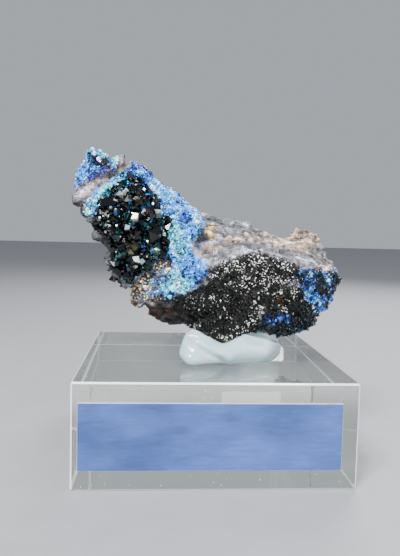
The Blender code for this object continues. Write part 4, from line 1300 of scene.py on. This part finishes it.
class SPECIMEN_OT_stage(bpy.types.Operator):
    """Make the plain floor, the soft lights and the camera"""
    bl_idname = "specimen.stage"
    bl_label = "Stage"

    def execute(self, context):
        make_floor(context.scene.specimen.floor_colour)
        for name, (place, size, brightness) in LIGHTS.items():
            make_softbox(name, Vector(place), size, brightness)
        world = bpy.data.worlds.new("even_light")
        world.use_nodes = True
        background = world.node_tree.nodes["Background"]
        background.inputs["Color"].default_value = ROOM_COLOUR
        background.inputs["Strength"].default_value = context.scene.specimen.world_light
        context.scene.world = world
        make_camera()
        return {"FINISHED"}


def make_floor(colour):
    """A wide flat floor just under the block."""
    corners = np.array([(x * FLOOR_REACH, y * FLOOR_REACH, -FLOOR_GAP)
                        for x, y in ((-1, -1), (1, -1), (1, 1), (-1, 1))])
    mesh = mesh_from_arrays("floor", corners, np.array([(0, 1, 2), (0, 2, 3)]))
    mesh.materials.append(floor_material(colour))
    floor = bpy.data.objects.new("floor", mesh)
    bpy.context.scene.collection.objects.link(floor)


def make_softbox(name, place, size, brightness):
    """A square soft light aimed at the specimen. Its power is brightness times pi times area."""
    light = bpy.data.lights.new(name, "AREA")
    light.shape = "SQUARE"
    light.size = size * MM
    light.energy = brightness * math.pi * light.size ** 2
    lamp = bpy.data.objects.new(name, light)
    lamp.rotation_euler = (LIGHT_AIM - place).to_track_quat("-Z", "Y").to_euler()
    lamp.location = place * MM
    bpy.context.scene.collection.objects.link(lamp)


def make_camera():
    """The camera at the eye, turned by its yaw, pitch and roll."""
    camera = bpy.data.cameras.new("camera")
    camera.sensor_width = CAMERA_SENSOR
    camera.lens = CAMERA_LENS
    camera.clip_start = 0.01
    camera.clip_end = 10.0
    view = bpy.data.objects.new("camera", camera)
    ahead = Vector((math.sin(CAMERA_YAW) * math.cos(CAMERA_PITCH),
                    math.cos(CAMERA_YAW) * math.cos(CAMERA_PITCH), -math.sin(CAMERA_PITCH)))
    right = Vector((math.cos(CAMERA_YAW), -math.sin(CAMERA_YAW), 0))
    down = ahead.cross(right)
    turned_right = math.cos(CAMERA_ROLL) * right + math.sin(CAMERA_ROLL) * down
    turned_down = math.cos(CAMERA_ROLL) * down - math.sin(CAMERA_ROLL) * right
    columns = Matrix((turned_right, -turned_down, -ahead)).transposed().to_4x4()
    view.matrix_world = Matrix.Translation(Vector(EYE) * MM) @ columns
    bpy.context.scene.collection.objects.link(view)
    bpy.context.scene.camera = view


class SPECIMEN_PT_panel(bpy.types.Panel):
    """The specimen's values and the steps that make it"""
    bl_idname = "SPECIMEN_PT_panel"
    bl_label = "Lazulite specimen"
    bl_space_type = "VIEW_3D"
    bl_region_type = "UI"
    bl_category = "Specimen"

    def draw(self, context):
        for name in SpecimenSettings.__annotations__:
            self.layout.prop(context.scene.specimen, name)
        for operator in OPERATORS:
            self.layout.operator(operator.bl_idname)


OPERATORS = (SPECIMEN_OT_rock, SPECIMEN_OT_lazulite, SPECIMEN_OT_druse, SPECIMEN_OT_putty,
             SPECIMEN_OT_block, SPECIMEN_OT_label, SPECIMEN_OT_stage)
CLASSES = (SpecimenSettings, *OPERATORS, SPECIMEN_PT_panel)


def register():
    """Add the classes and the settings."""
    for item in CLASSES:
        bpy.utils.register_class(item)
    bpy.types.Scene.specimen = bpy.props.PointerProperty(type=SpecimenSettings)


def unregister():
    """Remove the settings and the classes."""
    del bpy.types.Scene.specimen
    for item in reversed(CLASSES):
        bpy.utils.unregister_class(item)


def main():
    """Make everything."""
    register()
    bpy.ops.specimen.rock()
    bpy.ops.specimen.lazulite()
    bpy.ops.specimen.druse()
    bpy.ops.specimen.putty()
    bpy.ops.specimen.block()
    bpy.ops.specimen.label()
    bpy.ops.specimen.stage()


if __name__ == "__main__":
    main()
